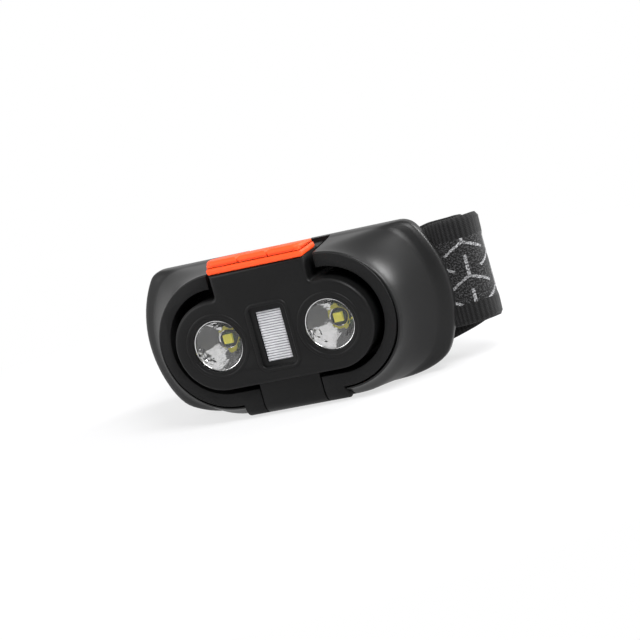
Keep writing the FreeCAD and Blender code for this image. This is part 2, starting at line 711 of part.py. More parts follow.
def make_back():
    plate = block("plate_blank", (-s.plate_half, s.plate_half), (plate_front, s.shell_back),
                  (s.plate_bottom, s.plate_top))
    notch_span = (-s.notch_half, s.notch_half)
    notch = block("plate_notch", notch_span, (plate_front - 1, s.shell_back + 1),
                  (s.notch_bottom, 50))
    holes, screws = [], []
    for x in (-1 * plate_screw_x, plate_screw_x):
        for z in (rim_height - s.plate_screw_rise, rim_height + s.plate_screw_rise):
            spot = f"{len(holes)}"
            holes.append(rod("plate_hole_" + spot, "y", (x, plate_front - 1, z), 5,
                             s.screw_radius + s.part_gap))
            holes.append(rod("plate_sink_" + spot, "y", (x, s.shell_back - 1, z), 2,
                             s.screw_head + s.part_gap))
            head = rod("plate_screw_head_" + spot, "y", (x, s.shell_back - 1, z), s.screw_sunk,
                       s.screw_head)
            shank = rod("plate_screw_shank_" + spot, "y", (x, plate_front - 3.8, z), 5,
                        s.screw_radius)
            screws.append(fuse("plate_screw_" + spot, head, shank))
    node(cut("plate", plate, notch, *holes), "back_plate")
    node(group("plate_screw_set", *screws), "plate_screws")
    blank = block("pad_blank", (-s.pad_half, s.pad_half), (s.shell_back, s.shell_back + 9),
                  (s.pad_bottom, s.pad_top))
    brow = rod("brow", "z", (0, s.shell_back + s.pad_thick + s.forehead_radius, 0), 50,
               s.forehead_radius)
    pad_notch = block("pad_notch", notch_span, (s.shell_back - 1, s.shell_back + 20),
                      (s.notch_bottom, 50))
    node(cut("pad_shaped", blank, brow, pad_notch), "forehead_pad")


# ---------------------------------------------------------------- headband

SPINE_TURNS = [
    (43.7, 11.0, 4.5), (41.6, 22.0, 4.5), (-31.0, 22.0, 4.0), (-31.5, 31.0, 4.0),
    (26.5, 31.0, 4.0), (27.0, 40.0, 4.0), (-43.5, 40.0, 8.0), (-38.5, 13.5, 12.0),
]
ARC_STEP = math.radians(15)
RUN_STEP = 6.0
LOWERED_FROM, LOWERED_OVER = 13.0, 32.0  # where the band comes down after the first pin
RAISED_BEFORE, RAISED_OVER = 44.0, 40.0  # where it rises again to the second


def spine():
    """Places along the folded band's middle line, each with its leftward normal."""
    pin = Vector(s.strap_pin_half.value, s.strap_pin_place.value, 0)
    corners = [(Vector(x, y, 0), radius) for x, y, radius in SPINE_TURNS]
    corners.append((Vector(-pin.x, pin.y, 0), 0.0))
    here, stations = pin, []
    for i, (corner, radius) in enumerate(corners):
        way = (corner - here).normalize()
        after = corners[i + 1][0] - corner if i + 1 < len(corners) else way
        turn = math.atan2(way.x * after.y - way.y * after.x, way.x * after.x + way.y * after.y)
        reach = radius * math.tan(abs(turn) / 2)
        end = corner - way * reach
        normal = Vector(-way.y, way.x, 0)
        steps = max(1, round((end - here).Length / RUN_STEP))
        stations += [(here + (end - here) * (k / steps), normal) for k in range(steps)]
        if radius:
            centre = end + normal * math.copysign(radius, turn)
            steps = max(2, math.ceil(abs(turn) / ARC_STEP))
            for k in range(steps):
                spin = FreeCAD.Rotation(Vector(0, 0, 1), math.degrees(turn) * k / steps)
                stations.append((centre + spin.multVec(end - centre), spin.multVec(normal)))
            spin = FreeCAD.Rotation(Vector(0, 0, 1), math.degrees(turn))
            here = centre + spin.multVec(end - centre)
        else:
            stations.append((end, normal))
    return stations


def with_lengths(stations):
    """Add to each place its distance along the line."""
    total, rows = 0.0, []
    for i, (place, normal) in enumerate(stations):
        if i:
            total += (place - stations[i - 1][0]).Length
        rows.append((place, normal, total))
    return rows


def ease(amount):
    amount = min(1.0, max(0.0, amount))
    return amount * amount * (3 - 2 * amount)


def band_height_at(along, total):
    """The band leaves its pins high and stands on its lower edge behind the lamp."""
    high, low = s.band_height.value, s.band_floor.value
    down = ease((along - LOWERED_FROM) / LOWERED_OVER)
    up = ease((along - total + RAISED_BEFORE) / RAISED_OVER)
    return high + (low - high) * (down - up)


def ribbon(rows, total, offset):
    """A flat band of the webbing's section through the rows, set off to the left of them."""
    half_thick, half_high = s.band_thick.value / 2, s.band_high.value / 2
    sections = []
    for place, normal, along in rows:
        middle = place + normal * offset + Vector(0, 0, band_height_at(along, total))
        across, up = normal * half_thick, Vector(0, 0, half_high)
        corners = [middle - across - up, middle + across - up, middle + across + up,
                   middle - across + up]
        sections.append(Part.makePolygon(corners + corners[:1]))
    return Part.makeLoft(sections, True, True)


def shaped(shape, name):
    item = document.addObject("Part::Feature", name)
    item.Shape = shape
    return node(item, name)


def pin_loop(x, y, height):
    """The sewn eye of the webbing around an upright pin or bar."""
    inner = s.strap_pin_radius.value + s.running_fit.value
    base = Vector(x, y, height - s.band_high.value / 2)
    outer = Part.makeCylinder(inner + s.band_thick.value, s.band_high.value, base)
    return outer.cut(Part.makeCylinder(inner, s.band_high.value, base))


def make_headband():
    rows = with_lengths(spine())
    total = rows[-1][2]
    offset = s.strap_pin_radius.value + s.running_fit.value + s.band_thick.value / 2
    clear = offset + s.band_thick.value / 2
    pin_x, pin_y = s.strap_pin_half.value, s.strap_pin_place.value
    first_way = (rows[1][0] - rows[0][0]).normalize()
    start = (rows[0][0] + first_way * clear, rows[0][1], clear)
    main = ribbon([start] + rows[1:], total, offset)
    shaped(main.fuse(pin_loop(-pin_x, pin_y, s.band_height.value)), "headband")
    sewn_x = s.return_end.value
    doubled = [row for row in rows if row[2] < total / 2 and (row[2] < 30 or row[0].x > sewn_x)]
    last = doubled[-1]
    end = (Vector(sewn_x, last[0].y, 0), last[1], last[2] + last[0].x - sewn_x)
    returned = ribbon(doubled + [end], total, -offset)
    shaped(returned.fuse(pin_loop(pin_x, pin_y, s.band_height.value)), "headband_return")
    print("headband length", round(total, 1))
    make_slider(SPINE_TURNS[1][1], offset)


def make_slider(run, offset):
    """Three-bar slider round the plain layer, with the sewn end of the doubled layer."""
    place, half, floor = s.slider_place, s.slider_half, s.band_floor
    bar_y = run + offset + s.slider_back_gap
    front = run - offset - s.band_thick / 2 - s.slider_fit
    reach = s.band_high / 2 + s.slider_fit
    rails = []
    for name, low in (("under", floor - reach - s.slider_rail), ("over", floor + reach)):
        rails.append(block(f"rail_{name}", (place - half, place + half),
                           (front - s.slider_bar_thick, bar_y + 1.2), (low, low + s.slider_rail)))
    for side, x in (("near", place - half), ("far", place + half - 2 * s.slider_bar)):
        rails.append(block(f"bar_{side}", (x, x + 2 * s.slider_bar), (front - s.slider_bar_thick, front),
                           (floor - reach - 0.5, floor + reach + 0.5)))
    rails.append(rod("bar_middle", "z", (place, as_size(bar_y), floor - reach - 0.5),
                     2 * reach + 1, s.slider_bar))
    node(fuse("slider", *rails), "band_slider")
    high = (floor - s.band_high / 2, floor + s.band_high / 2)
    eye = rod("tail_eye", "z", (place, as_size(bar_y), high[0]), s.band_high,
              s.slider_bar + s.running_fit + s.band_thick)
    leaf = block("tail_leaf", (place, s.tail_end),
                 (bar_y - s.band_thick / 2, bar_y + s.band_thick / 2), high)
    hole = rod("tail_hole", "z", (place, as_size(bar_y), floor - reach), 2 * reach,
               s.slider_bar + s.running_fit)
    node(cut("tail", fuse("tail_solid", eye, leaf), hole), "headband_tail")


# ---------------------------------------------------------------- build and write


def make_all():
    make_bezel()
    make_head_shell()
    make_seam_gasket()
    for side, x in spots.items():
        make_spot(side, x)
    make_lens_seals()
    make_flood()
    make_boards()
    make_cell()
    make_control_board()
    make_port()
    make_port_cover()
    make_head_screws()
    make_keypad()
    make_frame()
    make_bracket_shell()
    make_back()
    document.recompute()
    make_headband()
    document.recompute()


def check_all():
    for item in document.Objects:
        if "Invalid" in item.State or "Error" in item.State:
            raise RuntimeError(f"{item.Label} failed: {item.State}")
    for item in nodes:
        if item.Shape.isNull() or not item.Shape.isValid():
            raise RuntimeError(f"{item.Label} has no valid shape")


def write_all():
    os.makedirs("parts", exist_ok=True)
    for item in nodes:
        item.Shape.exportStep(f"parts/{item.Label}.step")
        print(item.Label, len(item.Shape.Solids), round(item.Shape.Volume, 1))


make_all()
check_all()
write_all()
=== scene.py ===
# %% [markdown]
# # A tilting headlamp
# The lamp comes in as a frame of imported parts, each riding on the body that moves it. This
# file gives every part its finish, and replaces the parts whose real form is softer or finer
# than a machined solid: the moulded shell, the webbing, the pad, the lenses and the keypad.
# Sizes are in metres, and MM turns drawing sizes into metres.

# %% Load the frame
import json
import math

import bmesh
import bpy
from mathutils import Matrix, Vector


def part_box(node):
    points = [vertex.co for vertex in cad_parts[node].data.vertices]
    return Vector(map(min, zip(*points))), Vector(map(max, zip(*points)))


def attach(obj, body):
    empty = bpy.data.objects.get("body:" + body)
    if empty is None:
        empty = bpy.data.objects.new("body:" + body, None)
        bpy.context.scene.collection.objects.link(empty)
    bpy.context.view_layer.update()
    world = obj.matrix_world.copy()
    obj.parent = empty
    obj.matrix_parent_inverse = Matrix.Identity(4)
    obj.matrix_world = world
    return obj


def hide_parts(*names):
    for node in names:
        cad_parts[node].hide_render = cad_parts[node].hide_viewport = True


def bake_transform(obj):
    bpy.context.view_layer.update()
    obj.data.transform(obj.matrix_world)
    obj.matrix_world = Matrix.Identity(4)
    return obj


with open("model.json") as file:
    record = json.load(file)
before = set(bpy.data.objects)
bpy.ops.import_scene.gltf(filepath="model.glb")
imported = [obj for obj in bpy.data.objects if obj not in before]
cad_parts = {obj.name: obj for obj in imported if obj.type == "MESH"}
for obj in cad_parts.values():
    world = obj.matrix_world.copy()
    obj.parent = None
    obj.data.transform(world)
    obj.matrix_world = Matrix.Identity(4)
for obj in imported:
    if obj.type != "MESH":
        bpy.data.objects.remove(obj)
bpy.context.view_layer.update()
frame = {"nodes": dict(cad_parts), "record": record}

nodes = frame["nodes"]
scene = bpy.context.scene
MM = 0.001
body_of = {name: body for body, names in frame["record"]["behaviour"]["bodies"].items()
           for name in names}
print("parts in the frame:", len(nodes))

# %% [markdown]
# ## The camera
# A product view from the right and a little above, with the camera rolled so that the lamp
# leans. Its direction is worked out from three angles, which keeps the roll exact.

# %% Camera
TARGET = Vector((12.17, -13.0, 20.43)) * MM
AZIMUTH, ELEVATION, ROLL = (math.radians(a) for a in (21.87, 9.85, 15.17))
DISTANCE = 0.6127


def add_camera():
    right = Vector((math.cos(AZIMUTH), math.sin(AZIMUTH), 0))
    back = Vector((math.sin(AZIMUTH) * math.cos(ELEVATION),
                   -math.cos(AZIMUTH) * math.cos(ELEVATION), math.sin(ELEVATION)))
    up = back.cross(right)
    side = math.cos(ROLL) * right - math.sin(ROLL) * up
    top = math.sin(ROLL) * right + math.cos(ROLL) * up
    data = bpy.data.cameras.new("camera")
    data.lens = 152.3
    data.sensor_width = 36.0
    data.clip_start = 0.01
    camera = bpy.data.objects.new("camera", data)
    turn = Matrix((side, top, back)).transposed().to_4x4()
    camera.matrix_world = Matrix.Translation(TARGET + back * DISTANCE) @ turn
    scene.collection.objects.link(camera)
    scene.camera = camera
    return camera


add_camera()

# %% [markdown]
# ## Shader maths as expressions
# A wire stands for one output socket. Adding, multiplying or comparing wires adds the Math
# nodes, so a finish reads as a formula. Every other node comes from Finish.node.


# %% Wires and finishes
class Wire:
    """One output socket, with arithmetic."""

    def __init__(self, finish, socket):
        self.finish = finish
        self.socket = socket

    def math(self, operation, *others, clamp=False):
        values = {0: self, **{i + 1: other for i, other in enumerate(others)}}
        settings = {"operation": operation, "use_clamp": clamp}
        return self.finish.node("ShaderNodeMath", settings, values)

    def __add__(self, other):
        return self.math("ADD", other)

    def __sub__(self, other):
        return self.math("SUBTRACT", other)

    def __mul__(self, other):
        return self.math("MULTIPLY", other)

    def __rsub__(self, other):
        return self.finish.node("ShaderNodeMath", {"operation": "SUBTRACT"}, {0: other, 1: self})

    def __gt__(self, other):
        return self.math("GREATER_THAN", other)

    def __lt__(self, other):
        return self.math("LESS_THAN", other)

    __radd__ = __add__
    __rmul__ = __mul__


class Finish:
    """A material under construction."""

    def __init__(self, name):
        self.material = bpy.data.materials.new(name)
        self.material.use_nodes = True
        self.tree = self.material.node_tree
        self.shader = self.tree.nodes["Principled BSDF"]

    def node(self, kind, settings=None, inputs=None, output=0):
        made = self.tree.nodes.new(kind)
        for name, value in (settings or {}).items():
            setattr(made, name, value)
        for key, value in (inputs or {}).items():
            self.feed(made.inputs[key], value)
        return Wire(self, made.outputs[output])

    def feed(self, socket, value):
        if isinstance(value, Wire):
            self.tree.links.new(value.socket, socket)
        else:
            socket.default_value = value

    def set(self, **values):
        for name, value in values.items():
            self.feed(self.shader.inputs[name.replace("_", " ").title()
                      .replace("Ior", "IOR")], value)
        return self

    def place(self, scale):
        at = self.node("ShaderNodeTexCoord", output="Object")
        return self.node("ShaderNodeMapping", inputs={"Vector": at, "Scale": (scale,) * 3})

    def noise(self, scale, detail=2.0, at=None):
        at = at or self.place(1.0)
        return self.node("ShaderNodeTexNoise", inputs={"Vector": at, "Scale": scale,
                                                       "Detail": detail})

    def mix(self, amount, first, second):
        made = self.tree.nodes.new("ShaderNodeMix")
        made.data_type = "RGBA"
        for socket, value in ((0, amount), (6, first), (7, second)):
            self.feed(made.inputs[socket], value)
        return Wire(self, made.outputs[2])

    def bump(self, height, strength, distance):
        return self.node("ShaderNodeBump", inputs={"Height": height, "Strength": strength,
                                                   "Distance": distance})


def ease(amount):
    amount = min(1.0, max(0.0, amount))
    return amount * amount * (3 - 2 * amount)


def grey(level):
    return (level, level, level * 1.02, 1.0)


def mesh_from(shape, name):
    """The finished mesh of a bmesh, which is freed."""
    mesh = bpy.data.meshes.new(name)
    shape.to_mesh(mesh)
    shape.free()
    return mesh


# %% [markdown]
# ## Moulded plastics and rubbers
# Spark-eroded moulds leave a fine even grain, and handling polishes the high spots. One
# function makes the family: a base colour that drifts slightly, a roughness that varies, and
# a grain in the bump.


# %% Moulded finishes
def moulded(name, colour, rough, grain=2600.0, depth=0.02, drift=0.25, gloss=0.3):
    finish = Finish(name)
    slow = finish.noise(90.0, 3.0)
    fine = finish.noise(grain, 2.0)
    darker = tuple(c * (1 - drift) for c in colour[:3]) + (1.0,)
    finish.set(base_color=finish.mix(slow, darker, colour), specular_ior_level=gloss,
               roughness=rough - 0.06 + 0.12 * slow,
               normal=finish.bump(fine, 0.55, depth * MM))
    return finish.material


housing = moulded("housing", grey(0.0065), 0.42, 2200.0, 0.035, gloss=0.16)
rim_plastic = moulded("rim_plastic", grey(0.0075), 0.6, 1500.0, 0.08, gloss=0.16)
overmould = moulded("overmould", grey(0.0075), 0.38, 3200.0, 0.012, gloss=0.24)
seal_rubber = moulded("seal_rubber", grey(0.008), 0.6, gloss=0.15)
orange_rubber = moulded("orange_rubber", (1.0, 0.085, 0.012, 1.0), 0.5, 2600.0, 0.01, 0.06)
slider_plastic = moulded("slider_plastic", grey(0.01), 0.42)
switch_black = moulded("switch_black", grey(0.02), 0.35)
print("moulded finishes made")

# %% [markdown]
# ## Metals, glass and light sources
# The reflectors are vacuum-metallised plastic, the lenses clear polycarbonate, and each
# light source is a yellow phosphor tile on a white carrier, with a faint painted glow.


# %% Metals, glass and light sources
def metal(name, level, rough, ripple=0.0):
    finish = Finish(name)
    streaks = finish.noise(900.0, 2.0)
    colour = (level, level, level, 1.0)
    darker = tuple(0.8 * c for c in colour[:3]) + (1.0,)
    finish.set(base_color=finish.mix(streaks, darker, colour), metallic=1.0,
               roughness=rough + 0.08 * streaks)
    if ripple:
        finish.set(normal=finish.bump(finish.noise(330.0, 2.0), ripple, 0.5 * MM))
    return finish.material


screw_steel = metal("screw_steel", 0.62, 0.25)
cell_foil = metal("cell_foil", 0.6, 0.35)
spreader_metal = metal("spreader_metal", 0.72, 0.35)
mirror_coat = metal("mirror_coat", 0.82, 0.03, ripple=0.5)


def clear_plastic():
    finish = Finish("clear_plastic")
    haze = finish.noise(700.0, 1.0)
    finish.set(base_color=(1, 1, 1, 1), roughness=0.02 + 0.03 * haze, ior=1.46,
               transmission_weight=1.0)
    return finish.material


def flood_plastic():
    finish = Finish("flood_plastic")
    cloud = finish.noise(260.0, 2.0)
    finish.set(base_color=finish.mix(cloud, (0.42, 0.42, 0.44, 1), (0.6, 0.6, 0.62, 1)),
               roughness=0.22 + 0.1 * cloud)
    return finish.material


def phosphor():
    finish = Finish("phosphor")
    grain = finish.noise(3000.0, 2.0)
    finish.set(base_color=finish.mix(grain, (0.62, 0.56, 0.03, 1), (0.75, 0.7, 0.08, 1)),
               roughness=0.4 + 0.2 * grain)
    # Painted glow: the unlit phosphor gets a faint yellow emission, so it and its reflection in the
    # bowl read brighter.
    finish.set(emission_color=(0.55, 0.5, 0.04, 1), emission_strength=0.35)
    return finish.material


def circuit_mask():
    finish = Finish("circuit_mask")
    tracks = finish.noise(500.0, 4.0) > 0.55
    finish.set(base_color=finish.mix(tracks, (0.01, 0.07, 0.03, 1), (0.02, 0.13, 0.05, 1)),
               roughness=0.35 + 0.1 * tracks)
    return finish.material


# Painted shade: the diffuser's body behind the ribs is darker than the ribs, so the lines between
# them read dark.
flood_painted_shade_backing = moulded("flood_painted_shade_backing", (0.12, 0.12, 0.125, 1.0), 0.3)
clear_lens = clear_plastic()
flood_ribs = flood_plastic()
led_phosphor_painted_glow = phosphor()
board_mask = circuit_mask()

# %% [markdown]
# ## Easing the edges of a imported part
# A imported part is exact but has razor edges, which no moulding has. A copy of its mesh is
# welded, its flat facets are joined, and a narrow bevel is run along every sharp edge. The
# copy then stands for the part.


# %% Edge easing
def link_mesh(name, mesh, material, smooth_angle=35.0):
    item = bpy.data.objects.new(name, mesh)
    scene.collection.objects.link(item)
    mesh.materials.clear()
    mesh.materials.append(material)
    mesh.polygons.foreach_set("use_smooth", [True] * len(mesh.polygons))
    mesh.set_sharp_from_angle(angle=math.radians(smooth_angle))
    return item


def welded(node_name):
    """The part's own mesh, with its loose triangles joined and its flat faces whole."""
    shape = bmesh.new()
    shape.from_mesh(nodes[node_name].data)
    bmesh.ops.remove_doubles(shape, verts=shape.verts, dist=0.002 * MM)
    bmesh.ops.dissolve_limit(shape, angle_limit=math.radians(1.0), verts=shape.verts,
                             edges=shape.edges)
    return shape


def sharp_edges(shape, angle=32.0):
    return [e for e in shape.edges if len(e.link_faces) == 2
            and e.calc_face_angle(0.0) > math.radians(angle)]


def eased(node_name, material, width=0.2, segments=2, name=None):
    """A copy of a part with a bevel along its sharp edges, riding where the part rides."""
    shape = welded(node_name)
    bmesh.ops.bevel(shape, geom=sharp_edges(shape), offset=width * MM, offset_type="OFFSET",
                    segments=segments, profile=0.5, affect="EDGES", clamp_overlap=True)
    mesh = mesh_from(shape, name or node_name + "_eased")
    item = link_mesh(name or node_name + "_eased", mesh, material)
    stand_for(item, node_name)
    return item


def stand_for(item, *node_names):
    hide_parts(*node_names)
    slot_of(node_names[0])
    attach(item, body_of[node_names[0]])


def slot_of(node_name):
    rows = frame["record"]["subparts"]
    return next(row["material_slot"] for row in rows if row["node"] == node_name)


EASED_PARTS = {
    "back_plate": (housing, 0.25), "bracket_frame": (rim_plastic, 0.3),
    "head_shell": (housing, 0.3), "band_slider": (slider_plastic, 0.3),
    "port_cover": (seal_rubber, 0.15),
}
PLAIN_PARTS = {
    "head_gasket": seal_rubber, "lens_seals": seal_rubber, "battery_foam": seal_rubber,
    "spot_led_left": led_phosphor_painted_glow, "spot_led_right": led_phosphor_painted_glow, "flood_leds": led_phosphor_painted_glow,
    "led_board": board_mask, "control_board": board_mask,
    "heat_spreader": spreader_metal, "board_screws": screw_steel, "head_screws": screw_steel,
    "plate_screws": screw_steel, "hinge_pin": screw_steel, "usb_receptacle": screw_steel,
    "battery_cell": cell_foil,
    "tact_switches": switch_black,
}
for part, (material, width) in EASED_PARTS.items():
    made = eased(part, material, width)
    print(part, len(made.data.polygons), "faces")


def finish_part(node_name, material):
    mesh = nodes[node_name].data
    mesh.materials.clear()
    mesh.materials.append(material)


for part, material in PLAIN_PARTS.items():
    finish_part(part, material)

# %% [markdown]
# ## The head's front moulding
# The bezel's outline carries a broad rounded bevel, and everything else on it only a small
# one. Both are run on the same welded copy: first the broad bevel along the front outline,
# picked by where the edges lie, then the small one along what is still sharp.


# %% Front moulding
lens_low, lens_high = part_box("spot_lens_right")
LENS_HEIGHT = (lens_low.z + lens_high.z) / 2
SPOT_X = (lens_low.x + lens_high.x) / 2
SPOT_RADIUS = 6.1 * MM
FACE_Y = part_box("head_bezel")[0].y
TAB_HALF = 11.8 * MM


def on_front_outline(edge):
    middle = (edge.verts[0].co + edge.verts[1].co) / 2
    flat = all(abs(v.co.y - FACE_Y) < 0.01 * MM for v in edge.verts)
    from_spot = math.hypot(abs(middle.x) - SPOT_X, middle.z - LENS_HEIGHT)
    in_flood = abs(middle.x) < 5 * MM and abs(middle.z - LENS_HEIGHT) < 8 * MM
    return flat and from_spot > SPOT_RADIUS + 0.5 * MM and not in_flood


def at_tab_root(edge):
    """The inward corners where the keypad's tab leaves the head's round ends."""
    ends = [vert.co for vert in edge.verts]
    along_y = abs(ends[0].y - ends[1].y) > 1.5 * MM
    inside = all(abs(abs(co.x) - TAB_HALF) < 0.1 * MM for co in ends)
    return along_y and inside and all(LENS_HEIGHT < co.z < LENS_HEIGHT + 14 * MM for co in ends)


def bevel(shape, edges, width, segments):
    bmesh.ops.bevel(shape, geom=edges, offset=width * MM, offset_type="OFFSET",
                    segments=segments, profile=0.5, affect="EDGES", clamp_overlap=True)


def front_moulding():
    shape = welded("head_bezel")
    bevel(shape, [e for e in sharp_edges(shape) if at_tab_root(e)], 0.9, 5)
    bevel(shape, [e for e in sharp_edges(shape) if on_front_outline(e)], 1.15, 5)
    bevel(shape, sharp_edges(shape, 48.0), 0.22, 2)
    mesh = mesh_from(shape, "front_moulding")
    item = link_mesh("front_moulding", mesh, housing)
    stand_for(item, "head_bezel")
    return item


print("front moulding", len(front_moulding().data.polygons), "faces")

# %% [markdown]
# ## Surfaces of revolution: reflectors and lenses
# A reflector is a deep metallised bowl whose wall rises as a power of its radius, with a faint
# ripple in its coat. A lens is a clear dome with a bright lip. Both are profiles turned about
# the beam's axis, so one small lathe makes them.


# %% Reflectors and lenses
def turned(name, profile, centre, material, steps=96):
    """Turn (radius, depth) points about an axis along Y through the centre."""
    shape = bmesh.new()
    rings = []
    for radius, depth in profile:
        if radius < 1e-7:
            rings.append([shape.verts.new((centre[0], centre[1] + depth, centre[2]))])
            continue
        ring = []
        for k in range(steps):
            turn = 2 * math.pi * k / steps
            ring.append(shape.verts.new((centre[0] + radius * math.cos(turn), centre[1] + depth,
                                         centre[2] + radius * math.sin(turn))))
        rings.append(ring)
    for first, second in zip(rings, rings[1:]):
        for k in range(steps):
            after = (k + 1) % steps
            corners = [first[k % len(first)], first[after % len(first)],
                       second[after % len(second)], second[k % len(second)]]
            unique = list(dict.fromkeys(corners))
            if len(unique) > 2:
                shape.faces.new(unique)
    bmesh.ops.recalc_face_normals(shape, faces=shape.faces)
    mesh = mesh_from(shape, name)
    return link_mesh(name, mesh, material, 50.0)


def bowl_profile(mouth, throat, depth, wall):
    """Inside of a parabola-like bowl from mouth to throat, and back along its outside."""
    count = 28
    inside, outside = [], []
    for k in range(count + 1):
        share = k / count
        radius = throat + (mouth - throat) * (1 - share) ** 0.88
        inside.append((radius, depth * share))
        outside.append((radius + wall, depth * share))
    floor = [(1.45 * MM, depth)]
    return inside + floor + [(1.45 * MM, depth + 0.05 * MM)] + outside[::-1] + inside[:1]


def make_optics(side):
    low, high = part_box(f"spot_reflector_{side}")
    centre = ((low.x + high.x) / 2, low.y, LENS_HEIGHT)
    bowl = turned(f"reflector_bowl_{side}",
                  bowl_profile(6.08 * MM, 2.0 * MM, high.y - low.y, 0.3 * MM), centre, mirror_coat)
    stand_for(bowl, f"spot_reflector_{side}")
    low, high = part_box(f"spot_lens_{side}")
    thick, radius = high.y - low.y, (high.x - low.x) / 2
    dome = 0.35 * MM
    lip = SPOT_RADIUS - 0.15 * MM
    front = [(lip * math.sin(a), -dome * math.cos(a)) for a in
             (k * math.pi / 2 / 12 for k in range(13))]
    profile = front + [(radius, 0.0), (radius, thick), (0.0, thick)]
    lens = turned(f"lens_dome_{side}", profile, (centre[0], low.y, LENS_HEIGHT), clear_lens)
    stand_for(lens, f"spot_lens_{side}")
    ring = [(SPOT_RADIUS - 0.04 * MM + 0.16 * MM * math.cos(a) - 0.16 * MM,
             0.16 * MM * math.sin(a) - 0.05 * MM) for a in
            (k * 2 * math.pi / 12 for k in range(13))]
    lip_ring = turned(f"lens_lip_{side}", ring, (centre[0], low.y, LENS_HEIGHT), mirror_coat)
    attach(lip_ring, "lamp_head")
    step = [(7.35 * MM + 0.42 * MM * math.cos(a), 0.16 * MM * math.sin(a)) for a in
            (k * 2 * math.pi / 12 for k in range(13))]
    bead = turned(f"spot_bead_{side}", step, (centre[0], FACE_Y, LENS_HEIGHT), housing)
    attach(bead, "lamp_head")


for side in ("left", "right"):
    make_optics(side)
print("optics made")

# %% [markdown]
# ## Repeats by Geometry Nodes
# Ribs, stitches and grips repeat a small solid along a line. The tree resamples the line to
# an even pitch, puts a rounded bar on each point, turned along the line, and realises it.


# %% Repeats along a line
def repeat_tree(material):
    tree = bpy.data.node_groups.new("repeat_along_line", "GeometryNodeTree")
    tree.interface.new_socket("Geometry", in_out="INPUT", socket_type="NodeSocketGeometry")
    sizes = {}
    for name in ("Pitch", "Along", "Across", "High"):
        sizes[name] = tree.interface.new_socket(name, in_out="INPUT",
                                                socket_type="NodeSocketFloat").identifier
    tree.interface.new_socket("Geometry", in_out="OUTPUT", socket_type="NodeSocketGeometry")
    add = tree.nodes.new
    given, out = add("NodeGroupInput"), add("NodeGroupOutput")
    curve, resample = add("GeometryNodeMeshToCurve"), add("GeometryNodeResampleCurve")
    resample.mode = "LENGTH"
    tangent, align = add("GeometryNodeInputTangent"), add("FunctionNodeAlignRotationToVector")
    bar, size = add("GeometryNodeMeshCylinder"), add("ShaderNodeCombineXYZ")
    bar.inputs["Vertices"].default_value = 16
    bar.inputs["Radius"].default_value = 0.5
    bar.inputs["Depth"].default_value = 1.0
    align.axis = "X"
    on_points, realise = add("GeometryNodeInstanceOnPoints"), add("GeometryNodeRealizeInstances")
    paint = add("GeometryNodeSetMaterial")
    paint.inputs["Material"].default_value = material
    links = (
        (given.outputs["Geometry"], curve.inputs["Mesh"]),
        (curve.outputs["Curve"], resample.inputs["Curve"]),
        (given.outputs["Pitch"], resample.inputs["Length"]),
        (resample.outputs["Curve"], on_points.inputs["Points"]),
        (bar.outputs["Mesh"], on_points.inputs["Instance"]),
        (tangent.outputs["Tangent"], align.inputs["Vector"]),
        (align.outputs["Rotation"], on_points.inputs["Rotation"]),
        (given.outputs["Along"], size.inputs["X"]),
        (given.outputs["Across"], size.inputs["Y"]),
        (given.outputs["High"], size.inputs["Z"]),
        (size.outputs["Vector"], on_points.inputs["Scale"]),
        (on_points.outputs["Instances"], realise.inputs["Geometry"]),
        (realise.outputs["Geometry"], paint.inputs["Geometry"]),
        (paint.outputs["Geometry"], out.inputs["Geometry"]),
    )
    for start, end in links:
        tree.links.new(start, end)
    return tree, sizes


def repeated(name, lines, material, pitch, along, across, high):
    """Rounded bars at a pitch along each line of points, as one plain mesh."""
    points = [point for line in lines for point in line]
    edges, start = [], 0
    for line in lines:
        edges += [(start + k, start + k + 1) for k in range(len(line) - 1)]
        start += len(line)
    guide_mesh = bpy.data.meshes.new(name + "_guide")
    guide_mesh.from_pydata(points, edges, [])
    guide = bpy.data.objects.new(name + "_guide", guide_mesh)
    scene.collection.objects.link(guide)
    tree, sizes = repeat_tree(material)
    modifier = guide.modifiers.new("repeat", "NODES")
    modifier.node_group = tree
    for key, value in (("Pitch", pitch), ("Along", along), ("Across", across), ("High", high)):
        modifier[sizes[key]] = value * MM
    bpy.context.view_layer.update()
    settled = guide.evaluated_get(bpy.context.evaluated_depsgraph_get())
    mesh = bpy.data.meshes.new_from_object(settled)
    bpy.data.objects.remove(guide)
    item = link_mesh(name, mesh, material, 60.0)
    print(name, len(mesh.polygons), "faces")
    return item


# %% [markdown]
# ## The flood window
# A white diffuser with about twenty fine level ribs. The body is the imported solid with eased
# edges, in a grey darker than the ribs as painted shade between them; the ribs are half-round
# bars repeated up its face.

# %% Flood window
flood_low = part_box("flood_lens")[0]
eased("flood_lens", flood_painted_shade_backing, 0.12, 2, "flood_body")
FLOOD_TALL = 5.75 * MM
rib_line = [(0.0, flood_low.y, LENS_HEIGHT + end) for end in (-FLOOD_TALL, FLOOD_TALL)]
flood_bars = repeated("flood_bars", [rib_line], flood_ribs, 0.575, 0.5, 0.4, 6.1)
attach(flood_bars, "lamp_head")


def rounded_path(half_wide, half_high, radius, steps=8):
    """A closed upright path with round corners, anticlockwise, about the origin."""
    path = []
    for sx, sz, start in ((1, 1, 0), (-1, 1, 90), (-1, -1, 180), (1, -1, 270)):
        for k in range(steps + 1):
            a = math.radians(start + 90 * k / steps)
            path.append(Vector((sx * (half_wide - radius) + radius * math.cos(a), 0,
                                sz * (half_high - radius) + radius * math.sin(a))))
    return path


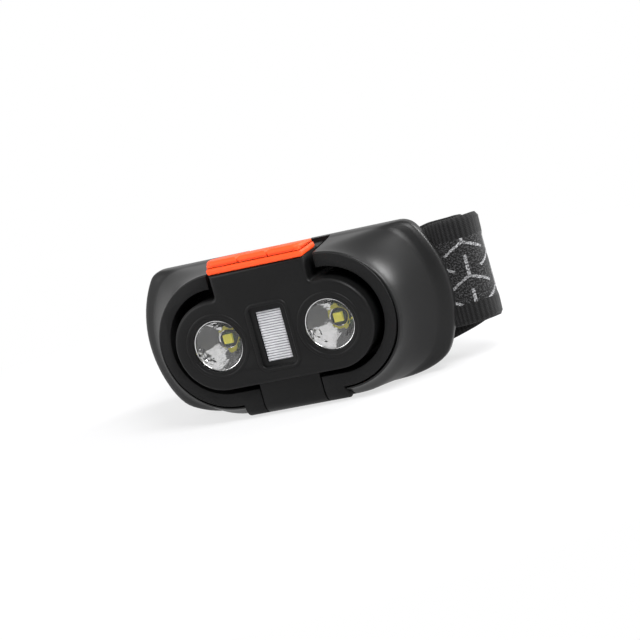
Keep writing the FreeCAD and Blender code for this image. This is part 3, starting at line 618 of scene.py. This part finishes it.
def bead_along(name, path, centre, thick, proud, material):
    """A low rounded bead along a closed upright path."""
    shape, rings, count = bmesh.new(), [], len(path)
    for k, point in enumerate(path):
        way = (path[(k + 1) % count] - path[k - 1]).normalized()
        side = Vector((way.z, 0, -way.x))
        ring = []
        for i in range(10):
            a = 2 * math.pi * i / 10
            spot = point + side * math.cos(a) * thick + Vector((0, math.sin(a) * proud, 0))
            ring.append(shape.verts.new(spot * MM + centre))
        rings.append(ring)
    for a, b in zip(rings, rings[1:] + rings[:1]):
        for i in range(10):
            shape.faces.new((a[i], a[(i + 1) % 10], b[(i + 1) % 10], b[i]))
    bmesh.ops.recalc_face_normals(shape, faces=shape.faces)
    mesh = mesh_from(shape, name)
    return link_mesh(name, mesh, material, 60.0)


flood_bead = bead_along("flood_bead", rounded_path(4.95, 7.75, 2.0),
                        Vector((0, FACE_Y, LENS_HEIGHT)), 0.45, 0.25, housing)
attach(flood_bead, "lamp_head")

# %% [markdown]
# ## The keypad
# One rubber moulding to the eye: a tray with three raised pads parted by shallow notches. The
# tray and the pads stay separate pieces, because each pad presses by itself.

# %% Keypad
def cutter(name, x, y, z):
    """A box between places in millimetres, used once to cut and then removed."""
    corners = [(a, b, c) for a in x for b in y for c in z]
    mesh = bpy.data.meshes.new(name)
    faces = [(0, 1, 3, 2), (4, 6, 7, 5), (0, 4, 5, 1), (2, 3, 7, 6), (0, 2, 6, 4), (1, 5, 7, 3)]
    mesh.from_pydata([Vector(c) * MM for c in corners], [], faces)
    item = bpy.data.objects.new(name, mesh)
    scene.collection.objects.link(item)
    return item


def cut_away(item, tools):
    for tool in tools:
        modifier = item.modifiers.new(tool.name, "BOOLEAN")
        modifier.operation = "DIFFERENCE"
        modifier.solver = "EXACT"
        modifier.object = tool
    bpy.context.view_layer.update()
    settled = item.evaluated_get(bpy.context.evaluated_depsgraph_get())
    mesh = bpy.data.meshes.new_from_object(settled)
    item.modifiers.clear()
    item.data = mesh
    for tool in tools:
        bpy.data.objects.remove(tool)
    mesh.polygons.foreach_set("use_smooth", [True] * len(mesh.polygons))
    mesh.set_sharp_from_angle(angle=math.radians(40))


def rounded_block(shape, x, y, z, radius, segments=5):
    """Add a block between places in millimetres, with every edge rounded."""
    made = bmesh.ops.create_cube(shape, size=1.0)
    for vert in made["verts"]:
        for axis, (low, high) in enumerate((x, y, z)):
            vert.co[axis] = (low + high) / 2 * MM + vert.co[axis] * (high - low) * MM
    edges = list({edge for vert in made["verts"] for edge in vert.link_edges})
    bevel(shape, edges, radius, segments)


def make_tray():
    low, high = (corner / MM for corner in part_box("keypad_base"))
    shape = bmesh.new()
    rounded_block(shape, (low.x, high.x), (low.y, high.y), (low.z, high.z - 0.45), 0.6, 5)
    mesh = mesh_from(shape, "keypad_tray")
    tray = link_mesh("keypad_tray", mesh, orange_rubber)
    wall, bottom = 0.33, 0.8
    cut_away(tray, [cutter("well", (low.x + wall, high.x - wall), (low.y + wall, high.y - wall),
                           (low.z + bottom, high.z + 3))])
    stand_for(tray, "keypad_base")


make_tray()
PAD_LOW, PAD_TOP, PAD_ROUND = 37.6, 38.6, 0.8
PAD_HALF, PAD_FRONT, PAD_BACK, PAD_CORNER = 12.0, -12.95, -3.45, 2.2


def pad_plan(low_x, high_x):
    """A slice of the keypad's rounded outline, anticlockwise, in millimetres."""
    middle = (PAD_FRONT + PAD_BACK) / 2
    half = (PAD_BACK - PAD_FRONT) / 2
    ring = [Vector((p.x, p.z + middle)) for p in rounded_path(PAD_HALF, half, PAD_CORNER, 10)]
    dense = []
    for a, b in zip(ring, ring[1:] + ring[:1]):
        steps = max(1, round((b - a).length / 0.25))
        dense += [a.lerp(b, k / steps) for k in range(steps)]
    return [Vector((min(max(p.x, low_x), high_x), p.y)) for p in dense]


def spread(plan, low_x, high_x, inset):
    """The plan drawn in by an inset, each point towards the pad's own middle line."""
    middle_x, middle_y = (low_x + high_x) / 2, (PAD_FRONT + PAD_BACK) / 2
    half_x, half_y = (high_x - low_x) / 2, (PAD_BACK - PAD_FRONT) / 2
    return [Vector((middle_x + (p.x - middle_x) * (1 - inset / half_x),
                    middle_y + (p.y - middle_y) * (1 - inset / half_y))) for p in plan]


def make_key(side, low_x, high_x):
    """A key's pad over the tray's edge, its core in the tray, and its stem."""
    plan = pad_plan(low_x, high_x)
    levels = [(0.0, PAD_LOW), (0.0, PAD_TOP - PAD_ROUND)]
    for k in range(1, 7):
        a = math.pi / 2 * k / 6
        levels.append((PAD_ROUND * (1 - math.cos(a)), PAD_TOP - PAD_ROUND * (1 - math.sin(a))))
    shape = bmesh.new()
    rings = [[shape.verts.new(Vector((p.x, p.y, z)) * MM)
              for p in spread(plan, low_x, high_x, inset)] for inset, z in levels]
    count = len(plan)
    for a, b in zip(rings, rings[1:]):
        for k in range(count):
            shape.faces.new((a[k], a[(k + 1) % count], b[(k + 1) % count], b[k]))
    shape.faces.new(rings[0][::-1])
    shape.faces.new(rings[-1])
    bmesh.ops.remove_doubles(shape, verts=shape.verts, dist=0.004 * MM)
    for vert in shape.verts:
        fall = 0.8 * ease((vert.co.y / MM + 11.0) / 7.5)
        vert.co.z -= (vert.co.z - PAD_LOW * MM) * fall
    low, high = (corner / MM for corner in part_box(f"key_{side}"))
    front, back = PAD_FRONT + 0.34, PAD_BACK - 0.34
    core = (max(low_x, -PAD_HALF + 0.4), min(high_x, PAD_HALF - 0.4))
    rounded_block(shape, core, (front, back), (37.1, PAD_LOW + 0.2), 0.1, 2)
    stem = bmesh.ops.create_cone(shape, cap_ends=True, segments=32, radius1=1.0 * MM,
                                 radius2=1.0 * MM, depth=(37.3 - low.z) * MM)
    bmesh.ops.translate(shape, verts=stem["verts"], vec=Vector(
        ((low.x + high.x) / 2, (front + back) / 2, (37.3 + low.z) / 2)) * MM)
    bmesh.ops.recalc_face_normals(shape, faces=shape.faces)
    mesh = mesh_from(shape, f"key_pad_{side}")
    stand_for(link_mesh(f"key_pad_{side}", mesh, orange_rubber, 50.0), f"key_{side}")


KEY_GAP = 0.26
KEY_EDGE = 3.69
for side, low_x, high_x in (("left", -PAD_HALF, -KEY_EDGE - KEY_GAP / 2),
                            ("mid", -KEY_EDGE + KEY_GAP / 2, KEY_EDGE - KEY_GAP / 2),
                            ("right", KEY_EDGE + KEY_GAP / 2, PAD_HALF)):
    make_key(side, low_x, high_x)

# %% [markdown]
# ## The moulded shell
# The bracket's outer shell starts as a stadium round the rim and flares, hollow-sided, to a
# barrel shape at the back. Each station between is an outline of straight and round sides, so
# the skin is a grid: round the outline one way and along the depth the other. The rear edge
# stops a little short at the sides, where the webbing leaves.

# %% Shell outlines
FRONT_Y, BACK_Y = -10.0, 6.2
FRONT = dict(top_half=13.4, top=16.5, side_half=26.9, side=9.5, base_half=13.4, bottom=-16.3,
             round=16.4, bulge=16.4, belly=16.4)
BACK = dict(top_half=29.5, top=17.4, side_half=33.9, side=15.5, base_half=21.0, bottom=-18.95,
            round=4.8, bulge=28.0, belly=24.0)
SIDE_STEPS = {"base": 20, "belly": 12, "bulge": 22, "round": 12, "top": 24}


def arc_points(first, last, radius, steps):
    """Points on an arc bulging to the right of the way from first to last, without the last."""
    way = last - first
    half = way.length / 2
    rise = math.sqrt(max(radius * radius - half * half, 0.0))
    inward = Vector((-way.y, way.x)).normalized()
    centre = (first + last) / 2 + inward * rise
    start, end = first - centre, last - centre
    turn = math.atan2(start.x * end.y - start.y * end.x, start.dot(end))
    rows = []
    for k in range(steps):
        a = turn * k / steps
        rows.append(centre + Vector((start.x * math.cos(a) - start.y * math.sin(a),
                                     start.x * math.sin(a) + start.y * math.cos(a))))
    return rows


def line_points(first, last, steps):
    return [first.lerp(last, k / steps) for k in range(steps)]


def outline(sizes):
    """Anticlockwise from the left end of the base, in millimetres about the lens axis."""
    base = Vector((sizes["base_half"], sizes["bottom"]))
    low = Vector((sizes["side_half"], -sizes["side"]))
    high = Vector((sizes["side_half"], sizes["side"]))
    top = Vector((sizes["top_half"], sizes["top"]))

    def flip(point):
        return Vector((-point.x, point.y))

    n = SIDE_STEPS
    points = line_points(flip(base), base, n["base"])
    points += arc_points(base, low, sizes["belly"], n["belly"])
    points += arc_points(low, high, sizes["bulge"], n["bulge"])
    points += arc_points(high, top, sizes["round"], n["round"])
    points += line_points(top, flip(top), n["top"])
    points += arc_points(flip(top), flip(high), sizes["round"], n["round"])
    points += arc_points(flip(high), flip(low), sizes["bulge"], n["bulge"])
    points += arc_points(flip(low), flip(base), sizes["belly"], n["belly"])
    return points


def smooth_closed(points, rounds):
    for _ in range(rounds):
        count = len(points)
        points = [points[k] * 0.5 + (points[k - 1] + points[(k + 1) % count]) * 0.25
                  for k in range(count)]
    return points


def shell_outline(y):
    """The outline at a depth: the flare quickens, and ends in a lip of full size."""
    along = (y - FRONT_Y) / (BACK_Y - FRONT_Y)
    share = 1.9 * along ** 2 - 0.9 * along ** 3
    share += (1 - share) * ease((y - 1.8) / 2.2)
    sizes = {key: FRONT[key] + (BACK[key] - FRONT[key]) * share for key in FRONT}
    sizes["bottom"] = FRONT["bottom"] + (BACK["bottom"] - FRONT["bottom"]) * ease(along * 2.4)
    return smooth_closed(outline(sizes), 4)


def inset_outline(points, depth):
    rows, count = [], len(points)
    for k in range(count):
        way = (points[(k + 1) % count] - points[k - 1]).normalized()
        rows.append(points[k] + Vector((-way.y, way.x)) * depth)
    return rows


def rear_edge(point, inside):
    """How far back a skin reaches: the inner one stops short where the webbing leaves."""
    at_side = ease((abs(point.x) - 31.0) / 3.0)
    clear = 1 - ease((abs(point.y) - 11.5) / 4.0)
    return BACK_Y - (0.9 if inside else 0.2) * at_side * clear


# %% Shell mesh
SHELL_ROWS = 30
SKIN = 1.7


def shell_grid(inside):
    """Rows of points from the front lip to the rear edge, on the outer or inner skin."""
    ends = [rear_edge(p, inside) for p in shell_outline(BACK_Y)]
    rows = []
    for k in range(SHELL_ROWS + 1):
        share = k / SHELL_ROWS
        row = []
        for i, end in enumerate(ends):
            y = FRONT_Y + (end - FRONT_Y) * share
            row.append((i, y))
        rows.append(row)
    cache = {}
    grid = []
    for row in rows:
        line = []
        for i, y in row:
            key = round(y, 2)
            if key not in cache:
                outer = shell_outline(key)
                cache[key] = inset_outline(outer, inner_depth(key)) if inside else outer
            point = cache[key][i]
            line.append(Vector((point.x, y, point.y + LENS_HEIGHT / MM)) * MM)
        grid.append(line)
    return grid


def inner_depth(y):
    """The skin is thin at the front lip, full behind it, and thinner again at the rear."""
    return 0.45 + (SKIN - 0.45) * ease((y + 8.5) / 1.2) - 0.5 * ease((y - 2.0) / 3.0)


def make_shell():
    shape = bmesh.new()
    outer, inner = shell_grid(False), shell_grid(True)
    loop = outer + inner[::-1]
    verts = [[shape.verts.new(p) for p in row] for row in loop]
    count = len(verts[0])
    for a, b in zip(verts, verts[1:] + verts[:1]):
        for k in range(count):
            shape.faces.new((a[k], a[(k + 1) % count], b[(k + 1) % count], b[k]))
    bmesh.ops.recalc_face_normals(shape, faces=shape.faces)
    rims = [e for e in shape.edges if len(e.link_faces) == 2 and e.calc_face_angle(0.0) > 1.0
            and (set(e.verts) <= set(verts[SHELL_ROWS]) or set(e.verts) <= set(verts[SHELL_ROWS + 1])
                 or set(e.verts) <= set(verts[0]))]
    bmesh.ops.bevel(shape, geom=rims, offset=0.6 * MM, offset_type="OFFSET", segments=3,
                    profile=0.5, affect="EDGES", clamp_overlap=True)
    mesh = mesh_from(shape, "shell_skin")
    return link_mesh("shell_skin", mesh, overmould)


shell = make_shell()
cut_away(shell, [
    cutter("gate", (-13.4, 13.4), (-16, 4.2), (27, 50)),
    cutter("notch", (-8.0, 8.0), (-16, 12), (27, 50)),
    cutter("hinge_way", (-12.9, 12.9), (-16, -3.5), (-5, 11)),
])
stand_for(shell, "bracket_shell")
print("shell", len(shell.data.polygons), "faces")

# %% [markdown]
# ## Webbing
# The headband is 25 mm elastic webbing. Its borders are ribbed across, with painted highlight
# and shade in stripes along the ribs, and its middle carries a woven figure of three-armed stars
# on an even lattice in a light reflective yarn. The figure is a formula on the webbing's own map,
# which runs in millimetres along and across.


# %% Webbing finish
def star_field(along, across, rise, arm, half):
    """1 on the light yarn: three-armed stars on a triangular lattice."""
    pitch = rise * math.sqrt(3)
    marks = []
    for shift in (0.0, 0.5):
        u = (along + (shift + 40) * pitch).math("MODULO", pitch) - pitch / 2
        v = (across + (shift + 40) * rise).math("MODULO", rise) - rise / 2
        up = (v > 0.0).math("MAXIMUM", v < arm - rise)
        marks.append(up * (u.math("ABSOLUTE") < half))
        for degrees in (210, 330):
            c, s = math.cos(math.radians(degrees)), math.sin(math.radians(degrees))
            reach, side = u * c + v * s, (v * c - u * s).math("ABSOLUTE")
            marks.append((reach > 0.0) * (reach < arm) * (side < half))
    total = marks[0]
    for mark in marks[1:]:
        total = total.math("MAXIMUM", mark)
    return total


STAR_ALONG, STAR_ACROSS = -9.67, 5.3


def webbing_finish():
    finish = Finish("webbing")
    cloth = finish.node("ShaderNodeUVMap", {"uv_map": "webbing"})
    parts = finish.tree.nodes.new("ShaderNodeSeparateXYZ")
    finish.feed(parts.inputs[0], cloth)
    along, across = Wire(finish, parts.outputs[0]) * 1000.0, Wire(finish, parts.outputs[1]) * 1000.0
    centre = across - 50.0
    border = centre.math("ABSOLUTE") > 7.6
    stars = star_field(along + STAR_ALONG, centre + STAR_ACROSS, 8.0, 4.9, 0.32) * (1 - border)
    grain = finish.node("ShaderNodeMapping", inputs={"Vector": cloth, "Scale": (1.0, 1.0, 1.0)})
    specks = finish.noise(2600.0, 1.0, grain)
    heather = finish.mix((specks - 0.45) * 5.0, grey(0.004), grey(0.05))
    knit = (along * (math.pi * 2 / 0.5)).math("SINE") * (across * (math.pi * 2 / 0.62)).math("SINE")
    worn = finish.mix((specks - 0.35) * 3.0, grey(0.03), grey(0.4))
    yarn = finish.mix(stars, heather, worn)
    # Painted highlight and shade: the ribbed borders are striped lighter and darker at the rib
    # pitch.
    ribbed = finish.mix((along * (math.pi * 2 / 0.95)).math("SINE") * 0.5 + 0.5,
                        grey(0.003), grey(0.014))
    ground = finish.mix(border, yarn, ribbed)
    height = knit * 0.3 + specks * 0.6 + stars * 0.35
    finish.set(base_color=ground, roughness=0.86 - 0.3 * stars, sheen_weight=0.08,
               specular_ior_level=0.2, normal=finish.bump(height, 0.8, 0.12 * MM))
    return finish.material


webbing = webbing_finish()

# %% [markdown]
# ## The band's path
# The band leaves the right pin as two layers, folds back behind the lamp, passes the slider
# as one layer, and is laid in level folds until it meets the left pin. The path is a few
# chosen turns; the band rises to the pins and hangs 2 mm above the floor behind the lamp.

# %% Band path
PIN_X, PIN_Y = 30.4, 4.6
TURNS = [(34.6, 8.3, 2.5), (43.7, 11.2, 4.0), (41.6, 22.0, 4.5), (-31.0, 22.0, 4.0),
         (-31.5, 31.0, 4.0), (26.5, 31.0, 4.0), (27.0, 40.0, 4.0), (-43.5, 40.0, 8.0),
         (-38.5, 13.5, 12.0)]
BAND_HIGH = 25.0
HIGH_PLACE, LOW_PLACE = 21.1, 14.5
LAYER = 1.6
STEP = 0.475
LOWERED_FROM, LOWERED_OVER = 13.0, 32.0
RAISED_BEFORE, RAISED_OVER = 44.0, 40.0
PINCHED_TO = 0.93
PIN_RADIUS, PIN_SHORTER = 0.8, 2.2


def fillet_path(points):
    """Even steps along straight runs joined by arcs, as places in the plan."""
    dense = [Vector((PIN_X, PIN_Y))]
    corners = [(Vector((x, y)), r) for x, y, r in points] + [(Vector((-PIN_X, PIN_Y)), 0.0)]
    for i, (corner, radius) in enumerate(corners):
        way = (corner - dense[-1]).normalized()
        if not radius:
            dense.append(corner)
            continue
        after = (corners[i + 1][0] - corner).normalized()
        turn = math.atan2(way.x * after.y - way.y * after.x, way.dot(after))
        start = corner - way * radius * math.tan(abs(turn) / 2)
        normal = Vector((-way.y, way.x)) * math.copysign(radius, turn)
        centre = start + normal
        for k in range(13):
            a = turn * k / 12
            arm = -normal
            dense.append(centre + Vector((arm.x * math.cos(a) - arm.y * math.sin(a),
                                          arm.x * math.sin(a) + arm.y * math.cos(a))))
    return dense


def even_steps(points, step):
    """Places an even step apart along a chain of points."""
    rows, left = [points[0].copy()], step
    for a, b in zip(points, points[1:]):
        length, done = (b - a).length, 0.0
        while length - done >= left:
            done += left
            rows.append(a.lerp(b, done / length))
            left = step
        left -= length - done
    return rows


def softened(points, rounds):
    for _ in range(rounds):
        points = ([points[0]] + [points[k] * 0.5 + (points[k - 1] + points[k + 1]) * 0.25
                                 for k in range(1, len(points) - 1)] + [points[-1]])
    return points


def normal_at(points, k):
    way = (points[min(k + 1, len(points) - 1)] - points[max(k - 1, 0)]).normalized()
    return Vector((-way.y, way.x))


def squeeze(along):
    """The band is pinched a little where it goes round a pin."""
    near = min(along, SPINE_LONG - along)
    return PINCHED_TO + 0.07 * ease((near - 2.0) / 6.0)


def place_height(along, total):
    down = ease((along - LOWERED_FROM) / LOWERED_OVER)
    up = ease((along - total + RAISED_BEFORE) / RAISED_OVER)
    return HIGH_PLACE + (LOW_PLACE - HIGH_PLACE) * (down - up)


spine = softened(even_steps(fillet_path(TURNS), STEP), 30)
SPINE_LONG = STEP * (len(spine) - 1)
print("band path", round(SPINE_LONG, 1), "mm")


def layer_rows(offset, start, end):
    """Rows of (place, normal, height) on one layer of the band between two lengths."""
    rows = []
    for k in range(len(spine)):
        along = k * STEP
        if start <= along <= end:
            normal = normal_at(spine, k)
            rows.append((spine[k] + normal * offset, normal, place_height(along, SPINE_LONG)))
    return rows


def wrap_rows(x, y, start_angle, sweep, height):
    """Rows of the band going round an upright pin."""
    steps = max(2, int(abs(sweep) * LAYER / STEP))
    rows = []
    for k in range(steps + 1):
        a = start_angle + sweep * k / steps
        out = Vector((math.cos(a), math.sin(a)))
        normal = out * (-1 if sweep > 0 else 1)
        rows.append((Vector((x, y)) + out * LAYER, normal, height))
    return rows


# %% Strap pins
def make_strap_pin(side):
    """A steel pin with rounded ends, hidden in the shell's corners."""
    low, high = (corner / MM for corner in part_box(f"strap_pin_{side}"))
    top = high.z - PIN_SHORTER
    middle = Vector((math.copysign(PIN_X, low.x), PIN_Y))
    shape = bmesh.new()
    pin = bmesh.ops.create_cone(shape, cap_ends=True, segments=40, radius1=PIN_RADIUS * MM,
                                radius2=PIN_RADIUS * MM, depth=(top - low.z) * MM)
    bmesh.ops.translate(shape, verts=pin["verts"], vec=Vector(
        (middle.x, middle.y, (low.z + top) / 2)) * MM)
    bevel(shape, sharp_edges(shape, 60.0), 0.25, 3)
    mesh = mesh_from(shape, f"pin_{side}")
    stand_for(link_mesh(f"pin_{side}", mesh, screw_steel), f"strap_pin_{side}")


for side in ("left", "right"):
    make_strap_pin(side)


# %% Band mesh
def band_section():
    """Half of the section, bottom to top: (height, half thickness), with fuller borders."""
    rows = []
    count = 26
    for k in range(count + 1):
        height = -BAND_HIGH / 2 + BAND_HIGH * k / count
        from_edge = BAND_HIGH / 2 - abs(height)
        border = 1 - ease((from_edge - 4.6) / 0.8)
        edge = math.sqrt(max(0.0, 1 - (1 - min(from_edge / 0.7, 1.0)) ** 2))
        rows.append((height, (0.56 + 0.12 * border) * max(edge, 0.12), border))
    return rows


def along_of(place):
    """About how far along the path a place lies, near its two ends."""
    start = (place - spine[0]).length
    end = (place - spine[-1]).length
    return min(start, SPINE_LONG - end, key=lambda far: min(far, SPINE_LONG - far))


def band_mesh(name, rows, wave=0.0):
    section = band_section()
    around = [(h, -t, b) for h, t, b in section] + [(h, t, b) for h, t, b in reversed(section)]
    shape = bmesh.new()
    cloth = shape.loops.layers.uv.new("webbing")
    rings = []
    pinches = [squeeze(along_of(row[0])) for row in rows]
    for k, (place, normal, middle) in enumerate(rows):
        ring = []
        for height, across, border in around:
            rib = 0.09 * border * (1 if k % 2 else -1)
            depth = across + math.copysign(rib, across)
            ripple = wave * math.sin(k * STEP / 3.1) * math.sin(height / 4.2)
            spot = place + normal * (depth + ripple)
            pinch = pinches[k] * height
            ring.append(shape.verts.new(Vector((spot.x, spot.y, middle + pinch)) * MM))
        rings.append(ring)
    count = len(around)
    for k, (a, b) in enumerate(zip(rings, rings[1:])):
        for i in range(count):
            j = (i + 1) % count
            face = shape.faces.new((a[i], a[j], b[j], b[i]))
            for loop, (row, column) in zip(face.loops, ((k, i), (k, j), (k + 1, j), (k + 1, i))):
                loop[cloth].uv = (row * STEP * MM, (50.0 + around[column][0]) * MM)
    for ring in (rings[0], rings[-1]):
        half = count // 2
        for i in range(half - 1):
            shape.faces.new((ring[i], ring[i + 1], ring[count - 2 - i], ring[count - 1 - i]))
    bmesh.ops.recalc_face_normals(shape, faces=shape.faces)
    mesh = mesh_from(shape, name)
    item = link_mesh(name, mesh, webbing, 75.0)
    print(name, len(rows), "rows", len(mesh.polygons), "faces")
    return item, len(rows) * STEP


main_rows = layer_rows(LAYER, 2.4, SPINE_LONG)
last = main_rows[-1]
end_angle = math.atan2(last[1].y, last[1].x)
main_rows += wrap_rows(-PIN_X, PIN_Y, end_angle, math.radians(-250), HIGH_PLACE)[1:]
main_band, main_long = band_mesh("webbing_main", main_rows, 0.12)
stand_for(main_band, "headband")

SEWN_X, BAR_X = 16.0, -8.0
outer_rows = layer_rows(-LAYER, 0.0, SPINE_LONG / 2)
# Known fault: rows of the next fold pass this test too, so the tail has a stray end.
outer_rows = [row for k, row in enumerate(outer_rows) if k * STEP < 30 or row[0].x > BAR_X + 1.0]
first = outer_rows[0]
turn_start = math.atan2(-first[1].y, -first[1].x)
wrap = wrap_rows(PIN_X, PIN_Y, turn_start + math.radians(-170), math.radians(170), HIGH_PLACE)
return_band, return_long = band_mesh("webbing_return", wrap[:-1] + outer_rows, 0.12)
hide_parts("headband_return", "headband_tail")
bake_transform(return_band)

# %% [markdown]
# ## The forehead pad
# Foam under a stretched mesh cover: a crowned, closed form that follows the brow, softer at
# its edges, with two sewn channels. Its rows run up the pad and its columns across it.


# %% Pad
def pad_fabric():
    finish = Finish("pad_fabric")
    at = finish.place(1.0)
    parts = finish.tree.nodes.new("ShaderNodeSeparateXYZ")
    finish.feed(parts.inputs[0], at)
    x, z = Wire(finish, parts.outputs[0]), Wire(finish, parts.outputs[2])
    wave = 2 * math.pi / (1.3 * MM)
    holes = (x * wave).math("SINE") * (z * wave).math("SINE")
    cells = finish.noise(1800.0, 2.0)
    finish.set(base_color=finish.mix(holes * 0.5 + 0.5, grey(0.012), grey(0.06)),
               roughness=0.8 + 0.1 * cells, sheen_weight=0.2,
               normal=finish.bump(holes * 0.5 + cells * 0.3, 0.7, 0.15 * MM))
    return finish.material


CHANNEL_AT = 14.5


def make_pad():
    low, high = (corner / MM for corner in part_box("forehead_pad"))
    columns, rows = 72, 40
    shape = bmesh.new()

    def brow(x):
        return low.y + 5.0 + 105.0 - math.sqrt(105.0 ** 2 - x * x)

    def top_at(x):
        dip = 10.2 * (1 - ease((abs(x) - 8.0) / 2.6))
        corner = 3.0 * ease((abs(x) - high.x + 3.0) / 3.0)
        return high.z - 0.4 - dip - corner

    def bottom_at(x):
        return low.z + 0.4 + 3.0 * ease((abs(x) - high.x + 3.0) / 3.0)

    grids = []
    for front in (False, True):
        grid = []
        for j in range(rows + 1):
            v = j / rows
            line = []
            for i in range(columns + 1):
                u = i / columns
                x = low.x + 0.3 + (high.x - low.x - 0.6) * u
                z = bottom_at(x) + (top_at(x) - bottom_at(x)) * v
                edge = min(u, 1 - u) * columns * 0.78, min(v, 1 - v) * rows * 0.8
                swell = math.prod(1 - max(0.0, 1 - e / 4.0) ** 2.4 for e in edge)
                channel = math.exp(-((abs(x) - CHANNEL_AT) / 0.8) ** 2)
                thick = (brow(x) - low.y - 0.5) * (0.28 + 0.72 * swell) - 1.1 * channel * swell
                y = low.y + 0.05 if front else low.y + thick
                line.append(shape.verts.new(Vector((x, y, z)) * MM))
            grid.append(line)
        grids.append(grid)
    for grid in grids:
        for a, b in zip(grid, grid[1:]):
            for i in range(columns):
                shape.faces.new((a[i], a[i + 1], b[i + 1], b[i]))
    back, front = grids
    ring = ([(0, i) for i in range(columns)] + [(j, columns) for j in range(rows)]
            + [(rows, i) for i in range(columns, 0, -1)] + [(j, 0) for j in range(rows, 0, -1)])
    for (j, i), (m, n) in zip(ring, ring[1:] + ring[:1]):
        shape.faces.new((back[j][i], back[m][n], front[m][n], front[j][i]))
    bmesh.ops.recalc_face_normals(shape, faces=shape.faces)
    mesh = mesh_from(shape, "pad_cover")
    item = link_mesh("pad_cover", mesh, pad_fabric(), 60.0)
    stand_for(item, "forehead_pad")
    return item


print("pad", len(make_pad().data.polygons), "faces")

# %% [markdown]
# ## Floor, backdrop and light
# The floor and the sky show to the camera as white, and the floor keeps the lamp's soft
# shadow. Two large soft lamps and an even sky light the object from above.


# %% Stage
def add_floor():
    mesh = bpy.data.meshes.new("floor")
    size = 60.0
    mesh.from_pydata([(-size, -size, 0), (size, -size, 0), (size, size, 0), (-size, size, 0)],
                     [], [(0, 1, 2, 3)])
    finish = Finish("floor_white")
    finish.set(base_color=grey(0.8), roughness=0.9, specular_ior_level=0.1)
    path = finish.tree.nodes.new("ShaderNodeLightPath")
    glow = finish.node("ShaderNodeEmission", inputs={"Color": (1, 1, 1, 1), "Strength": 1.0})
    split = finish.tree.nodes.new("ShaderNodeSeparateXYZ")
    finish.feed(split.inputs[0], finish.place(1.0))
    far = (Wire(finish, split.outputs[0]).math("POWER", 2.0)
           + Wire(finish, split.outputs[1]).math("POWER", 2.0)).math("SQRT")
    fade = ((far - 0.07) * 9.0).math("ADD", 0.0, clamp=True)
    seen = Wire(finish, path.outputs["Is Camera Ray"]).math(
        "MAXIMUM", Wire(finish, path.outputs["Is Glossy Ray"]))
    share = seen * (0.7 + 0.3 * fade)
    blend = finish.tree.nodes.new("ShaderNodeMixShader")
    finish.feed(blend.inputs[0], share)
    finish.tree.links.new(finish.shader.outputs[0], blend.inputs[1])
    finish.tree.links.new(glow.socket, blend.inputs[2])
    finish.tree.links.new(blend.outputs[0], finish.tree.nodes["Material Output"].inputs[0])
    floor = bpy.data.objects.new("floor", mesh)
    mesh.materials.append(finish.material)
    scene.collection.objects.link(floor)


def add_lamp(name, place, aim, size, power):
    data = bpy.data.lights.new(name, "AREA")
    data.shape = "DISK"
    data.size = size
    data.energy = power
    lamp = bpy.data.objects.new(name, data)
    facing = (Vector(place) - Vector(aim)).to_track_quat("Z", "Y").to_matrix().to_4x4()
    lamp.matrix_world = Matrix.Translation(place) @ facing
    scene.collection.objects.link(lamp)


def add_world():
    world = bpy.data.worlds.new("world")
    world.use_nodes = True
    tree = world.node_tree
    path = tree.nodes.new("ShaderNodeLightPath")
    seen = tree.nodes.new("ShaderNodeMath")
    seen.operation = "MAXIMUM"
    shiny = tree.nodes.new("ShaderNodeMath")
    shiny.operation = "MAXIMUM"
    tree.links.new(path.outputs["Is Glossy Ray"], shiny.inputs[0])
    tree.links.new(path.outputs["Is Transmission Ray"], shiny.inputs[1])
    tree.links.new(path.outputs["Is Camera Ray"], seen.inputs[0])
    tree.links.new(shiny.outputs[0], seen.inputs[1])
    strength = tree.nodes.new("ShaderNodeMapRange")
    strength.inputs["To Min"].default_value = 0.6
    strength.inputs["To Max"].default_value = 1.0
    towards = tree.nodes.new("ShaderNodeTexCoord")
    facing = tree.nodes.new("ShaderNodeVectorMath")
    facing.operation = "DOT_PRODUCT"
    facing.inputs[1].default_value = (0.2, -0.95, 0.1)
    tree.links.new(towards.outputs["Generated"], facing.inputs[0])
    dark = tree.nodes.new("ShaderNodeMapRange")
    for name, value in (("From Min", 0.45), ("From Max", 0.8), ("To Min", 1.0), ("To Max", 0.12)):
        dark.inputs[name].default_value = value
    tree.links.new(facing.outputs["Value"], dark.inputs["Value"])
    shade = tree.nodes.new("ShaderNodeMath")
    shade.operation = "MAXIMUM"
    tree.links.new(dark.outputs[0], shade.inputs[0])
    tree.links.new(path.outputs["Is Camera Ray"], shade.inputs[1])
    level = tree.nodes.new("ShaderNodeMath")
    level.operation = "MULTIPLY"
    tree.links.new(shade.outputs[0], level.inputs[0])
    background = tree.nodes["Background"]
    background.inputs["Color"].default_value = (1, 1, 1, 1)
    tree.links.new(seen.outputs[0], strength.inputs["Value"])
    tree.links.new(strength.outputs[0], level.inputs[1])
    tree.links.new(level.outputs[0], background.inputs["Strength"])
    scene.world = world


add_floor()
add_world()
CENTRE = (0.0, 0.0, 0.02)
add_lamp("key_light", (0.45, -0.35, 0.65), CENTRE, 0.45, 7.0)
add_lamp("fill_light", (-0.55, -0.5, 0.35), CENTRE, 0.5, 3.0)
add_lamp("rim_light", (0.5, 0.35, 0.35), CENTRE, 0.3, 4.0)
scene.view_settings.view_transform = "Standard"
